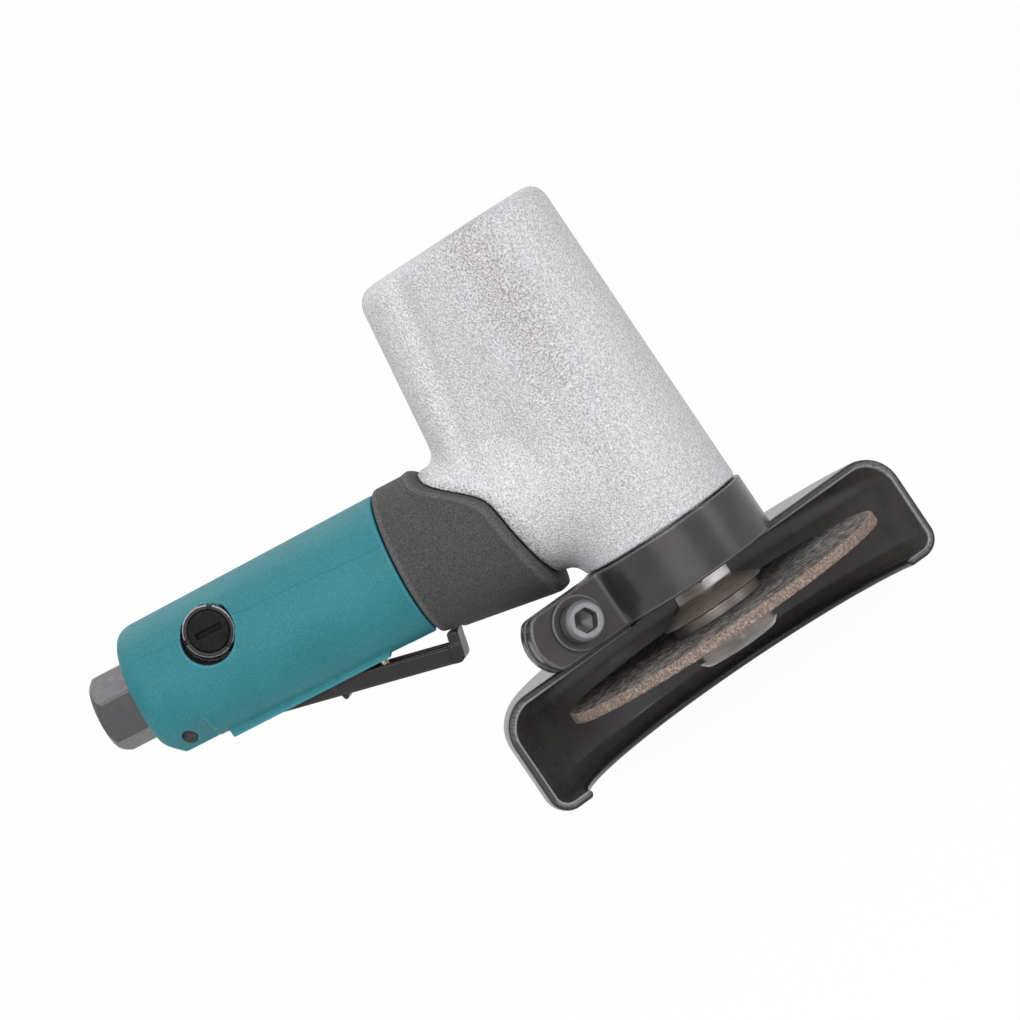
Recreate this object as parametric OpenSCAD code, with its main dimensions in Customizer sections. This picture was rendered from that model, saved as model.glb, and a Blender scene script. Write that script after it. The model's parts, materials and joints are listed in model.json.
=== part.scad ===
// Pneumatic cut off tool: vane motor, side handle with throttle lever, guarded cutting wheel.
// Origin at the middle of the wheel, +Z up the spindle, handle towards -X.
// On the handle, places are given as up (across it), y, and s (along it from the spindle axis).

/* [Cutting wheel] */
// Wheel diameter
wheel_d = 101.6; // [80:0.1:110]
// Wheel thickness
wheel_t = 3.2; // [1.6:0.1:5]
// Spindle stud and wheel bore
arbor_d = 9.5; // [8:0.1:11]
// Inner flange diameter
flange_d = 28; // [22:0.5:32]
// Inner flange thickness
flange_t = 3.5; // [2:0.1:6]
// Wheel nut diameter
nut_d = 26; // [22:0.5:30]
// Wheel nut thickness
nut_t = 7.7; // [5:0.1:10]
// Wheel nut wrench flats, across
nut_flats = 22; // [19:0.5:24]

/* [Drive hub] */
// Cone diameter next to the flange
cone_d = 33; // [29:0.5:36]
// Cone height
cone_h = 4.6; // [3:0.1:7]
// Hex size across flats
hub_hex = 17.5; // [15:0.5:20]
// Hex height
hub_hex_h = 4.4; // [3:0.1:8]

/* [Guard] */
// Guard outer diameter
guard_d = 139.6; // [128:0.2:150]
// Guard height from top plate to lip
guard_h = 34.2; // [30:0.1:44]
// Sheet thickness
guard_sheet = 2.4; // [1.5:0.1:3]
// Width of the turned-in lip
guard_lip = 11.6; // [9:0.1:13]
// Outer radius of the top corner
guard_top_r = 11; // [5:0.5:12]
// Outer radius of the lower corner
guard_low_r = 6; // [4:0.5:7]
// Distance of the open edge behind the spindle
guard_setback = 7.3; // [6:0.1:16]
// Turn of the guard's opening from straight ahead
guard_turn = 27; // [0:1:60]

/* [Guard clamp] */
// Wall of the clamp ring
clamp_wall = 3.7; // [3:0.1:5]
// Height of the clamp ring
clamp_h = 17.3; // [14:0.1:20]
// Turn of the clamp ears
clamp_turn = 28; // [10:1:50]
// Reach of the ears from the spindle
ear_reach = 52.6; // [48:0.2:54]
// Thickness of one ear
ear_t = 4; // [3:0.1:7]
// Width of the clamp slit
clamp_slit = 2; // [1:0.1:3]
// Screw distance from the spindle
screw_reach = 38; // [37:0.5:39]
// Clamp screw thread diameter
screw_d = 7.9; // [5:0.1:8.5]
// Clamp screw head diameter
screw_head_d = 11.9; // [10:0.1:13]
// Clamp washer diameter
washer_d = 16; // [12:0.5:16]
// Clamp washer thickness
washer_t = 1.4; // [1:0.1:2]

/* [Motor housing] */
// Barrel outer diameter
barrel_d = 49.6; // [48:0.2:56]
// Barrel length
barrel_len = 100.2; // [98:0.2:120]
// Barrel wall
barrel_wall = 3.8; // [2.5:0.1:5]
// Thickness of the closed top
barrel_cap = 7.6; // [4:0.1:10]
// Radius of the top edge
barrel_top_r = 6.5; // [3:0.5:7]
// Gap between clamp ring and barrel
clamp_gap = 0.35; // [0.3:0.05:2]
// Reach of the fairing lobe at the top
lobe_reach = 35; // [32:0.5:38]
// Half width of the fairing lobe
lobe_r = 15; // [12:0.5:17]
// Slope of the fairing lobe, degrees
lobe_slope = 8.3; // [4:0.1:10]
// Radius of the neck's flare at the barrel
flare_r0 = 22.4; // [21.5:0.1:22.6]
// Radius of the neck's flare under the collar
flare_r1 = 21; // [19:0.1:21.5]
// Radius of the neck tube that carries the handle
neck_r = 15.5; // [14.5:0.1:15.8]

/* [Vane motor] */
// Bore of the motor cylinder
cylinder_bore = 33; // [31:0.2:34]
// Offset of the cylinder's bore from the spindle
cylinder_offset = 1.8; // [1:0.1:2.2]
// Number of vanes
vane_count = 5; // [4:1:6]
// Vane thickness
vane_t = 2; // [1.5:0.1:3]
// Spindle diameter
spindle_d = 12; // [12:0.5:13]

/* [Handle] */
// Rise of the handle, degrees
handle_rise = 6.2; // [2:0.1:8]
// Height of the handle axis over the barrel's lower end
handle_height = 23; // [22.6:0.1:30]
// Start of the handle along its axis
handle_start = 65.75; // [64:0.25:70]
// Handle length
handle_len = 84.75; // [82:0.25:100]
// Handle radius at the front
handle_r0 = 21.3; // [20.5:0.1:22]
// Handle radius at the rear
handle_r1 = 20.3; // [19.8:0.1:21.5]
// Radius of the rear edge
handle_edge_r = 6; // [2:0.5:6]
// Depth of the socket for the neck
socket_depth = 11.5; // [9:0.1:12]
// Width of the rail along the underside
rail_w = 17.2; // [16:0.1:20]
// Drop of the rail below the axis
rail_drop = 21; // [20.5:0.1:22]
// Radius of the grip collar at its rear
collar_r1 = 22.3; // [21.6:0.1:23]
// Radius of the grip collar at its front
collar_r0 = 24.4; // [23:0.1:24.6]

/* [Air inlet] */
// Hex size across flats
inlet_hex = 20.6; // [18:0.1:22]
// Length that stands out of the handle
inlet_len = 13; // [8:0.5:16]
// Shank radius
inlet_shank_r = 8; // [7.5:0.1:8.2]
// Radius of the pipe thread's bore
inlet_bore_r = 5.6; // [5:0.1:6]
// Depth of the pipe thread's bore
inlet_bore_depth = 14; // [10:0.5:15]

/* [Speed regulator] */
// Distance of its axis from the handle's rear end
reg_back = 28.5; // [27.5:0.5:32]
// Height over the handle axis
reg_up = 9.5; // [8.5:0.1:10.5]
// Barrel radius
reg_r = 7; // [6:0.1:7.2]
// Distance of its face in front of the axis
reg_face = 16.6; // [16:0.1:18.5]
// Width of the screwdriver slot
reg_slot = 1.8; // [1:0.1:2.5]
// Length of the screwdriver slot
reg_slot_len = 7; // [4:0.5:10]

/* [Throttle lever] */
// Distance of the pivot from the handle's rear end
pivot_back = 8.5; // [7:0.5:9]
// Pivot depth below the axis
pivot_drop = 14.6; // [14.2:0.1:15]
// Pivot pin diameter
pivot_d = 4; // [3:0.1:4.2]
// Droop of the lever at rest, degrees
lever_droop = 11.2; // [11:0.1:12]
// Lap of the lever's tip past the handle's front end
lever_lap = 2.8; // [2:0.1:3.2]
// Lever width
lever_w = 11.4; // [10.8:0.1:11.6]
// Sheet thickness of the lever
lever_sheet = 1.6; // [1:0.1:1.8]
// Height of the lever's side walls over its web
lever_wall_h = 3.6; // [2.6:0.1:3.8]
// Height of the tip hook over the web
hook_h = 7.6; // [6:0.1:8]

/* [Throttle valve] */
// Distance of the valve from the handle's front end
valve_fore = 19.75; // [19.25:0.25:21.25]
// Stem diameter
stem_d = 3; // [2.5:0.1:3.4]
// Radius of the valve's bore
valve_bore_r = 6.5; // [6.2:0.1:6.8]
// Wire diameter of the valve spring
spring_wire = 0.9; // [0.6:0.1:1.1]
// Number of turns of the valve spring
spring_turns = 5; // [3:1:6]

/* [Fits] */
// Radial gap of a running fit
run_gap = 0.05; // [0.02:0.01:0.09]
// Radial gap of a pressed or threaded fit
press_gap = 0.02; // [0.01:0.01:0.03]
// Gap between faces that move past each other
face_gap = 0.5; // [0.35:0.05:0.8]

/* [Hidden] */
$fn = 72;

// Overrun of a cut past the face that it opens, and a size larger than the whole tool
over = 1;
far = 200;
// Sides of a hexagon and its ratio of corners to flats
hex_sides = 6;
hex_ratio = 1 / cos(30);

// Colours
cast_grey = [0.62, 0.62, 0.66];
teal = [0.24, 0.59, 0.62];
rubber_grey = [0.30, 0.30, 0.31];
black_steel = [0.16, 0.15, 0.16];
bright_steel = [0.72, 0.72, 0.74];
dark_steel = [0.36, 0.36, 0.38];
grit_brown = [0.45, 0.38, 0.33];
brass_yellow = [0.80, 0.66, 0.36];
seal_black = [0.08, 0.08, 0.09];

// Heights up the spindle
wheel_top = wheel_t / 2;
flange_top = wheel_top + flange_t;
cone_top = flange_top + cone_h;
hub_top = cone_top + hub_hex_h;
nose_z0 = hub_top + face_gap;
plate_drop = 0.8;
guard_top = nose_z0 - plate_drop;
guard_bottom = guard_top - guard_h;
clamp_top = guard_top + clamp_h;
barrel_z0 = clamp_top + clamp_gap;
barrel_z1 = barrel_z0 + barrel_len;
bore_top = barrel_z1 - barrel_cap;
nut_bottom = -wheel_top - nut_t;
hub_turn = -80;
nut_turn = guard_turn - 45;

// Motor bore and the pieces that stack in it
barrel_r = barrel_d / 2;
motor_bore_r = barrel_r - barrel_wall;
motor_fit_r = motor_bore_r - press_gap;
front_race_r = 16;
front_race_w = 10;
front_ball_r = 2.95;
front_balls = 8;
rear_journal_r = 4;
rear_race_r = 11;
rear_race_w = 7;
rear_ball_r = 1.95;
rear_balls = 7;
front_bearing = [spindle_d / 2, front_race_r, front_race_w, front_ball_r, front_balls];
rear_bearing = [rear_journal_r, rear_race_r, rear_race_w, rear_ball_r, rear_balls];
race_gap_share = 0.75;
washer_h = 1;
washer_lap = 2.5;
rear_plate_t = 11;
front_plate_t = 6;
nose_spigot = 6.5;
nose_top = barrel_z0 + nose_spigot;
front_bearing_z = nose_top - front_bearing[2];
front_plate_top = nose_top + front_plate_t;
rear_plate_top = bore_top - washer_h;
rear_plate_z = rear_plate_top - rear_plate_t;
rear_bearing_z = rear_plate_top - rear_bearing[2];
rotor_gap = 0.3;
rotor_r = cylinder_bore / 2 - cylinder_offset - rotor_gap;
rotor_z = front_plate_top + rotor_gap;
rotor_len = rear_plate_z - rotor_gap - rotor_z;
spindle_r = spindle_d / 2;
stud_r = arbor_d / 2 - press_gap;
stud_recess = 0.8;
vane_root = spindle_r + 1.8;
dowel_r = 1.5;
dowel_y = 2.3 - motor_bore_r;
dowel_grip = 4;
seal_h = 5;
seal_r = 11;

// Guard clamp
nose_r = 22;
clamp_in = nose_r + press_gap;
clamp_out = clamp_in + clamp_wall;
ear_face = clamp_slit / 2 + ear_t;
ear_end_r = 11;
screw_z = guard_top + clamp_h / 2;
toe_gap = 0.3;
screw_head_h = 6;
screw_socket = 6.35;
screw_socket_depth = 3.2;
screw_tip = 0.8;
plate_hole_r = nose_r + 0.4;

// Handle frame
handle_z = barrel_z0 + handle_height;
handle_end = handle_start + handle_len;
socket_end = handle_start + socket_depth;
flare_s0 = 14;
flare_s1 = 54;
collar_front = 32.2;
collar_ref = 34;
collar_sink = 2;
collar_lean = atan(collar_sink / (handle_start - collar_ref));
collar_chamfer = 0.8;
collar_reach = collar_r0 + 5.6;
collar_waist = 5;
collar_edge = [
    [collar_reach, collar_front + 26.8],
    [12.5, collar_front + 10.3],
    [collar_waist, collar_front + 3.2],
    [-collar_waist, collar_front],
    [-collar_reach, collar_front - 3.8]
];
handle_chamfer = 0.6;
rail_s0 = handle_start + 15.25;
rail_s1 = handle_end - 18.5;
boss_s = handle_end - 15.5;
valve_s = handle_start + valve_fore;
reg_s = handle_end - reg_back;
boss_drop = 19.4;
notch_drop = 18.7;
rear_bevel_s = 4.8;
rear_bevel_up = 7.1;
facet_top = [-10.8, 17.6];
facet_low = [-20.2, 4.5];
neck_groove_s = handle_start + 6;
neck_groove_w = 1.6;
o_ring_r = 0.6;

// Lever, latch and the slot that they swing in
pivot_r = pivot_d / 2;
pivot_up = -pivot_drop;
pivot_s = handle_end - pivot_back;
lever_len = (pivot_s - handle_start + lever_lap) / cos(lever_droop);
lever_end_r = pivot_r + 1.2;
lever_travel = 4.3;
slot_w = lever_w + 2 * face_gap;
slot_roof_rear = pivot_up + lever_end_r + face_gap;
slot_rear_s = pivot_s + lever_end_r + 0.7;
slot_bend_s = pivot_s - 4.5;
slot_mid_s = valve_s + 0.5;
slot_mid_up = -16.5;
slot_front_up = -18.4;
hook_t = 3.4;
lever_root_h = lever_end_r - 0.4;
lever_rise_x = 3 * lever_end_r;
hook_x = lever_len - hook_t;
channel_end = hook_x - 1;
hook_room = 1.3;
latch_behind = 15.25;
latch_x = (pivot_s - valve_s) / cos(lever_droop) - latch_behind;
latch_z = 1.3;
latch_hub_r = 2.3;
latch_pin_r = 1;
latch_w = lever_w - 2 * lever_sheet - 1.8;
latch_window_w = latch_w + 0.8;
latch_arm = 6;
latch_arm_angle = 130;
latch_arm_t = 1.6;
latch_tab = 4.6;
latch_tab_angle = -60;
latch_window_fore = 3.4;
latch_window_aft = 6.2;
leaf_t = 0.4;
leaf_w = 3;
leaf_end = latch_x + 11.5;
leaf_foot = 2.5;
pin_half = 11;

// Throttle valve, places across the handle
stem_r = stem_d / 2;
seat_top = 0;
seat_h = 4;
seat_bore_r = 3.4;
chamber_top = 14;
chamber_r = valve_bore_r - 0.5;
guide_bottom = -16.6;
guide_top = -11;
valve_o_r = 0.75;
head_r = 4.9;
head_h = 3;
pilot_r = 2;
pilot_h = 3;
stem_gap = 0.2;
stem_bevel = 0.7;
web_at_stem = pivot_up - (pivot_s - valve_s) * tan(lever_droop);
stem_tip = web_at_stem + stem_gap;
head_lift_gap = 0.05;
head_bottom = seat_top + head_lift_gap;
head_top = head_bottom + head_h;
spring_r = 3.6;
spring_len = chamber_top - head_top;
spring_pitch = (spring_len - spring_wire) / spring_turns;

// Air passages, places across the handle
inlet_shank_len = 17.3;
inlet_s0 = handle_end - inlet_shank_len;
inlet_end = handle_end + inlet_len;
inlet_bevel = 0.5;
inlet_turn = -6.5;
inlet_face_r = inlet_hex / 2 - inlet_bevel;
screen_pocket_r = inlet_bore_r + 0.7;
screen_t = 1;
supply_up = 4.2;
supply_r = 3.5;
outlet_up = -6.6;
outlet_r = 2.4;
exhaust_y = 10.6;
exhaust_up = 4.2;
exhaust_r = 2.5;
silencer_len = 8;

// Speed regulator, places along its own axis
reg_bore_end = 5;
reg_barrel_end = 4.5;
reg_ring_t = 2;
reg_ring_w = 0.9;
reg_ring_over = 0.5;
reg_counter_r = reg_r + reg_ring_over + face_gap;
reg_counter_y = -reg_face + reg_ring_t + face_gap;
reg_groove_y = -10.5;
reg_groove_w = 2.4;
reg_groove_r = reg_r - 1;
reg_pin_r = 1;
reg_pin_s = reg_s + reg_groove_r + reg_pin_r + run_gap;
reg_pin_low = 5;
reg_pin_top = 15;
reg_o_y = -7;
reg_slot_depth = 2;
reg_flat = 2;
reg_flat_y = -4.4;

// Points along an arc
function arc(cx, cy, r, a0, a1, n = 6) = [
    for (i = [0:n])
        let (a = a0 + (a1 - a0) * i / n)
            [cx + r * cos(a), cy + r * sin(a)]
];

// Places things in the handle's frame: X is up, Z runs along the handle
module on_handle() {
    translate([0, 0, handle_z])
        rotate([0, handle_rise - 90, 0])
            children();
}

// Places things in the lever's frame: X runs to the tip, Z is up, origin on the pivot
module on_lever() {
    on_handle()
        translate([pivot_up, 0, pivot_s])
            rotate([0, 90 + lever_droop, 0])
                children();
}

// Turns things with the guard clamp
module on_clamp() {
    rotate([0, 0, clamp_turn])
        children();
}

// Rod along Y
module cross_rod(r, y0, y1) {
    translate([0, y0, 0])
        rotate([-90, 0, 0])
            cylinder(r = r, h = y1 - y0);
}

// Plate with its outline in XZ, between two places on Y
module side_plate(y0, y1) {
    translate([0, y1, 0])
        rotate([90, 0, 0])
            linear_extrude(height = y1 - y0)
                children();
}

// Ring about Z
module ring(r_in, r_out, z0, z1) {
    rotate_extrude()
        translate([r_in, z0])
            square([r_out - r_in, z1 - z0]);
}

// O-ring about Z
module o_ring(r, wire_r) {
    rotate_extrude()
        translate([r, 0])
            circle(r = wire_r);
}

// Hexagonal prism along Z with a corner on X
module hex_prism(flats, h) {
    cylinder(r = flats / 2 * hex_ratio, h = h, $fn = hex_sides);
}

// Passage along the handle
module handle_bore(up, y, r, s0, s1) {
    translate([up, y, s0])
        cylinder(r = r, h = s1 - s0);
}

// Pitch radius of a bearing's balls
function pitch_r(b) = (b[0] + b[1]) / 2;

// Race of a ball bearing between two radii, grooved for the balls
module bearing_race(b, z, r_in, r_out) {
    rotate_extrude()
        difference() {
            translate([r_in, z])
                square([r_out - r_in, b[2]]);
            translate([pitch_r(b), z + b[2] / 2])
                circle(r = b[3] + run_gap);
        }
}

module bearing_outer(b, z) {
    bearing_race(b, z, pitch_r(b) + b[3] * race_gap_share, b[1] - press_gap);
}

module bearing_inner(b, z) {
    bearing_race(b, z, b[0] + press_gap, pitch_r(b) - b[3] * race_gap_share);
}

module bearing_balls(b, z) {
    for (i = [0:b[4] - 1])
        rotate([0, 0, i * 360 / b[4]])
            translate([pitch_r(b), 0, z + b[2] / 2])
                sphere(r = b[3]);
}

// Space that the collar fills, behind its slanted front edge
module collar_space() {
    side_plate(-far, far)
        polygon(concat(collar_edge, [[-collar_reach, handle_start], [collar_reach, handle_start]]));
}

// Air passages that run from the handle through the neck to the motor
module neck_passages(s0, s1) {
    handle_bore(outlet_up, 0, outlet_r, s0, s1);
    for (side = [-1, 1])
        handle_bore(side * exhaust_up, exhaust_y, exhaust_r, s0, s1);
}

// Motor housing
module barrel_profile() {
    edge = 0.8;
    polygon(concat(
        [[0, barrel_z0], [barrel_r - edge, barrel_z0], [barrel_r, barrel_z0 + edge]],
        arc(barrel_r - barrel_top_r, barrel_z1 - barrel_top_r, barrel_top_r, 0, 90),
        [[0, barrel_z1]]
    ));
}

module fairing_lobe() {
    start = 12;
    intersection() {
        translate([lobe_r - lobe_reach, 0, barrel_z1])
            rotate([0, 180 + lobe_slope, 0])
                translate([0, 0, -start])
                    cylinder(r = lobe_r, h = start + barrel_z1 - handle_z - lobe_r);
        translate([-far, -far, 0])
            cube([2 * far, 2 * far, barrel_z1]);
    }
}

module neck_flare() {
    on_handle()
        difference() {
            translate([0, 0, flare_s0])
                cylinder(r1 = flare_r0, r2 = flare_r1, h = flare_s1 - flare_s0);
            collar_space();
        }
}

module neck_tube() {
    on_handle()
        difference() {
            cylinder(r = neck_r, h = socket_end);
            translate([0, 0, neck_groove_s])
                ring(neck_r - 2 * o_ring_r, neck_r + over, 0, neck_groove_w);
        }
}

module motor_housing() {
    color(cast_grey)
        difference() {
            union() {
                rotate_extrude()
                    barrel_profile();
                fairing_lobe();
                neck_flare();
                neck_tube();
            }
            translate([0, 0, barrel_z0 - over])
                cylinder(r = motor_bore_r, h = bore_top - barrel_z0 + over);
            on_handle()
                neck_passages(neck_r, socket_end + over);
        }
}

// Grip collar
module collar_sleeve() {
    front = -collar_sink - over;
    h = handle_start - collar_front;
    slope = (collar_r0 - collar_r1) / (handle_start - collar_ref);
    reach = h + 8;
    translate([0, 0, handle_start])
        rotate([0, 180 + collar_lean, 0])
            rotate_extrude()
                polygon([
                    [0, front],
                    [collar_r1 - collar_chamfer, front],
                    [collar_r1 - collar_chamfer, 0],
                    [collar_r1, collar_chamfer],
                    [collar_r1 + slope * reach, reach],
                    [0, reach]
                ]);
}

module grip_collar() {
    color(rubber_grey)
        difference() {
            on_handle()
                difference() {
                    intersection() {
                        collar_sleeve();
                        collar_space();
                    }
                    cylinder(r = neck_r + press_gap, h = handle_start + over);
                    translate([-far, -slot_w / 2, handle_start - hook_t - 2 * hook_room])
                        cube([far, slot_w, hook_t + 2 * hook_room + over]);
                }
            translate([-far / 2, -far / 2, clamp_top + toe_gap - far])
                cube(far);
        }
}

module neck_o_ring() {
    color(seal_black)
        on_handle()
            translate([0, 0, neck_groove_s + neck_groove_w / 2])
                o_ring(neck_r - o_ring_r, o_ring_r - press_gap);
}

// Handle
module handle_profile() {
    polygon(concat(
        [[0, handle_start], [handle_r0 - handle_chamfer, handle_start]],
        [[handle_r0, handle_start + handle_chamfer]],
        arc(handle_r1 - handle_edge_r, handle_end - handle_edge_r, handle_edge_r, 0, 90),
        [[0, handle_end]]
    ));
}

module lever_slot() {
    side_plate(-slot_w / 2, slot_w / 2)
        polygon([
            [-far, handle_start - over],
            [slot_front_up, handle_start - over],
            [slot_mid_up, slot_mid_s],
            [slot_roof_rear, slot_bend_s],
            [slot_roof_rear, slot_rear_s],
            [-far, slot_rear_s]
        ]);
}

module handle_underside_cuts() {
    side_plate(-far, far)
        polygon([
            [-boss_drop, boss_s],
            [-boss_drop, handle_end - rear_bevel_s],
            [rear_bevel_up - boss_drop, handle_end],
            [rear_bevel_up - boss_drop, handle_end + over],
            [-far, handle_end + over],
            [-far, boss_s]
        ]);
    side_plate(-far, far)
        polygon([[-notch_drop, rail_s1], [-notch_drop, boss_s], [-far, boss_s], [-far, rail_s1]]);
    for (side = [-1, 1])
        translate([0, 0, boss_s])
            linear_extrude(height = handle_end)
                polygon([
                    [facet_top[0], side * facet_top[1]],
                    [facet_low[0], side * facet_low[1]],
                    [-far, side * facet_low[1]],
                    [-far, side * far],
                    [facet_top[0], side * far]
                ]);
}

module regulator_bores() {
    translate([reg_up, 0, reg_s]) {
        cross_rod(reg_r + run_gap, -far / 2, reg_bore_end);
        cross_rod(reg_counter_r, -far / 2, reg_counter_y);
    }
    translate([reg_pin_low, reg_groove_y, reg_pin_s])
        rotate([0, 90, 0])
            cylinder(r = reg_pin_r + press_gap, h = handle_r0);
}

module valve_bores() {
    translate([0, 0, valve_s])
        rotate([0, 90, 0]) {
            translate([0, 0, -handle_r0 - over])
                cylinder(r = valve_bore_r, h = handle_r0 + over + seat_top);
            cylinder(r = chamber_r, h = chamber_top);
        }
}

module handle() {
    color(teal)
        on_handle()
            difference() {
                union() {
                    rotate_extrude()
                        handle_profile();
                    translate([-rail_drop, -rail_w / 2, rail_s0])
                        cube([rail_drop, rail_w, rail_s1 - rail_s0]);
                }
                handle_underside_cuts();
                lever_slot();
                handle_bore(0, 0, neck_r + press_gap, handle_start - over, socket_end);
                handle_bore(0, 0, inlet_shank_r + press_gap, inlet_s0, handle_end + over);
                handle_bore(supply_up, 0, supply_r, valve_s, inlet_s0 + over);
                handle_bore(outlet_up, 0, outlet_r, socket_end - over, valve_s);
                for (side = [-1, 1])
                    handle_bore(
                        side * exhaust_up, exhaust_y, exhaust_r,
                        socket_end - over, handle_end + over
                    );
                regulator_bores();
                valve_bores();
                translate([pivot_up, 0, pivot_s])
                    cross_rod(pivot_r + press_gap, -far / 2, far / 2);
            }
}

// Air inlet
module inlet_bushing() {
    color(dark_steel)
        on_handle()
            difference() {
                union() {
                    handle_bore(0, 0, inlet_shank_r, inlet_s0 + face_gap, handle_end + over);
                    intersection() {
                        translate([0, 0, handle_end])
                            rotate([0, 0, inlet_turn])
                                hex_prism(inlet_hex, inlet_len);
                        translate([0, 0, handle_end])
                            cylinder(r1 = inlet_face_r + inlet_len, r2 = inlet_face_r, h = inlet_len);
                    }
                }
                handle_bore(0, 0, inlet_bore_r, inlet_s0, inlet_end + over);
                handle_bore(0, 0, screen_pocket_r, inlet_s0, inlet_end - inlet_bore_depth);
            }
}

module inlet_screen() {
    hole_r = 0.8;
    ring_r = 3.6;
    holes = 8;
    top = inlet_end - inlet_bore_depth;
    color(bright_steel)
        on_handle()
            difference() {
                handle_bore(0, 0, screen_pocket_r - press_gap, top - screen_t, top);
                handle_bore(0, 0, hole_r, top - screen_t - over, top + over);
                for (i = [0:holes - 1])
                    rotate([0, 0, i * 360 / holes])
                        handle_bore(ring_r, 0, hole_r, top - screen_t - over, top + over);
            }
}

module exhaust_silencers() {
    inset = 0.4;
    color(brass_yellow)
        on_handle()
            for (side = [-1, 1])
                handle_bore(
                    side * exhaust_up, exhaust_y, exhaust_r - press_gap,
                    handle_end - silencer_len, handle_end - inset
                );
}

// Speed regulator
module speed_regulator() {
    color(seal_black)
        on_handle()
            translate([reg_up, 0, reg_s])
                difference() {
                    union() {
                        cross_rod(reg_r - reg_ring_w, -reg_face, -reg_face + reg_ring_t + over);
                        cross_rod(reg_r, -reg_face + reg_ring_t, reg_barrel_end);
                    }
                    translate([-reg_slot / 2, -reg_face - over, -reg_slot_len / 2])
                        cube([reg_slot, reg_slot_depth + over, reg_slot_len]);
                    translate([0, reg_groove_y - reg_groove_w / 2, 0])
                        rotate([-90, 0, 0])
                            ring(reg_groove_r, reg_r + over, 0, reg_groove_w);
                    translate([0, reg_o_y - neck_groove_w / 2, 0])
                        rotate([-90, 0, 0])
                            ring(reg_r - 2 * o_ring_r, reg_r + over, 0, neck_groove_w);
                    translate([-reg_r - reg_flat, reg_flat_y, -reg_r])
                        cube([reg_r, far, 2 * reg_r]);
                }
}

module regulator_ring() {
    notch_w = 1.4;
    notch_depth = 0.7;
    notches = 3;
    first_notch = 30;
    color(black_steel)
        on_handle()
            translate([reg_up, -reg_face, reg_s])
                rotate([-90, 0, 0])
                    difference() {
                        ring(reg_r - reg_ring_w + press_gap, reg_r + reg_ring_over, 0, reg_ring_t);
                        for (i = [0:notches - 1])
                            rotate([0, 0, first_notch + i * 360 / notches])
                                translate([0, -notch_w / 2, -over])
                                    cube([far, notch_w, notch_depth + over]);
                    }
}

module regulator_o_ring() {
    color(seal_black)
        on_handle()
            translate([reg_up, reg_o_y, reg_s])
                rotate([-90, 0, 0])
                    o_ring(reg_r - o_ring_r, o_ring_r - press_gap);
}

module regulator_pin() {
    color(bright_steel)
        on_handle()
            translate([reg_pin_low, reg_groove_y, reg_pin_s])
                rotate([0, 90, 0])
                    cylinder(r = reg_pin_r, h = reg_pin_top - reg_pin_low);
}

// Throttle lever and its lock
module throttle_lever() {
    half = lever_w / 2;
    color(black_steel)
        on_lever()
            difference() {
                union() {
                    difference() {
                        side_plate(-half, half)
                            polygon([
                                [0, -lever_sheet],
                                [lever_len, -lever_sheet],
                                [lever_len, hook_h],
                                [hook_x, hook_h],
                                [hook_x, lever_wall_h],
                                [lever_rise_x, lever_wall_h],
                                [0, lever_root_h]
                            ]);
                        translate([lever_end_r + over, lever_sheet - half, 0])
                            cube([channel_end - lever_end_r, lever_w - 2 * lever_sheet, far]);
                    }
                    cross_rod(lever_end_r, -half, half);
                }
                cross_rod(pivot_r + run_gap, -half - over, half + over);
                translate([latch_x, 0, latch_z])
                    cross_rod(latch_pin_r + press_gap, -half - over, half + over);
                translate([latch_x - latch_window_fore, -latch_window_w / 2, -lever_sheet - over])
                    cube([latch_window_fore + latch_window_aft, latch_window_w, lever_sheet + 2 * over]);
            }
}

module lever_pin() {
    color(bright_steel)
        on_handle()
            translate([pivot_up, 0, pivot_s])
                cross_rod(pivot_r, -pin_half, pin_half);
}

module latch_bar(angle, length) {
    rotate([0, -angle, 0])
        translate([0, -latch_w / 2, -latch_arm_t / 2])
            cube([length, latch_w, latch_arm_t]);
}

module lock_latch() {
    color(black_steel)
        on_lever()
            translate([latch_x, 0, latch_z])
                difference() {
                    union() {
                        cross_rod(latch_hub_r, -latch_w / 2, latch_w / 2);
                        latch_bar(latch_arm_angle, latch_arm);
                        latch_bar(latch_tab_angle, latch_tab);
                    }
                    cross_rod(latch_pin_r + run_gap, -far, far);
                }
}

module lock_pin() {
    half = lever_w / 2;
    color(bright_steel)
        on_lever()
            translate([latch_x, 0, latch_z])
                cross_rod(latch_pin_r, -half, half);
}

module lock_spring() {
    rest_z = latch_z + latch_hub_r + run_gap;
    color(bright_steel)
        on_lever()
            side_plate(-leaf_w / 2, leaf_w / 2)
                polygon([
                    [leaf_end, 0],
                    [leaf_end, leaf_t],
                    [leaf_end - leaf_foot, leaf_t],
                    [latch_x + latch_hub_r, rest_z + leaf_t],
                    [latch_x, rest_z + leaf_t],
                    [latch_x, rest_z],
                    [latch_x + latch_hub_r - leaf_t, rest_z],
                    [leaf_end - leaf_foot - leaf_t, 0]
                ]);
}

// Throttle valve
module on_valve() {
    on_handle()
        translate([0, 0, valve_s])
            rotate([0, 90, 0])
                children();
}

module throttle_valve() {
    color(brass_yellow)
        on_valve()
            rotate_extrude()
                polygon([
                    [0, stem_tip],
                    [stem_r / 3, stem_tip],
                    [stem_r, stem_tip + stem_bevel],
                    [stem_r, head_bottom],
                    [head_r, head_bottom],
                    [head_r, head_top],
                    [pilot_r, head_top],
                    [pilot_r, head_top + pilot_h],
                    [0, head_top + pilot_h]
                ]);
}

// Helical wire from points on a formula: rings of a few sides, joined and closed at both ends
wire_sides = 6;
rings_per_turn = 8;

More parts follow.
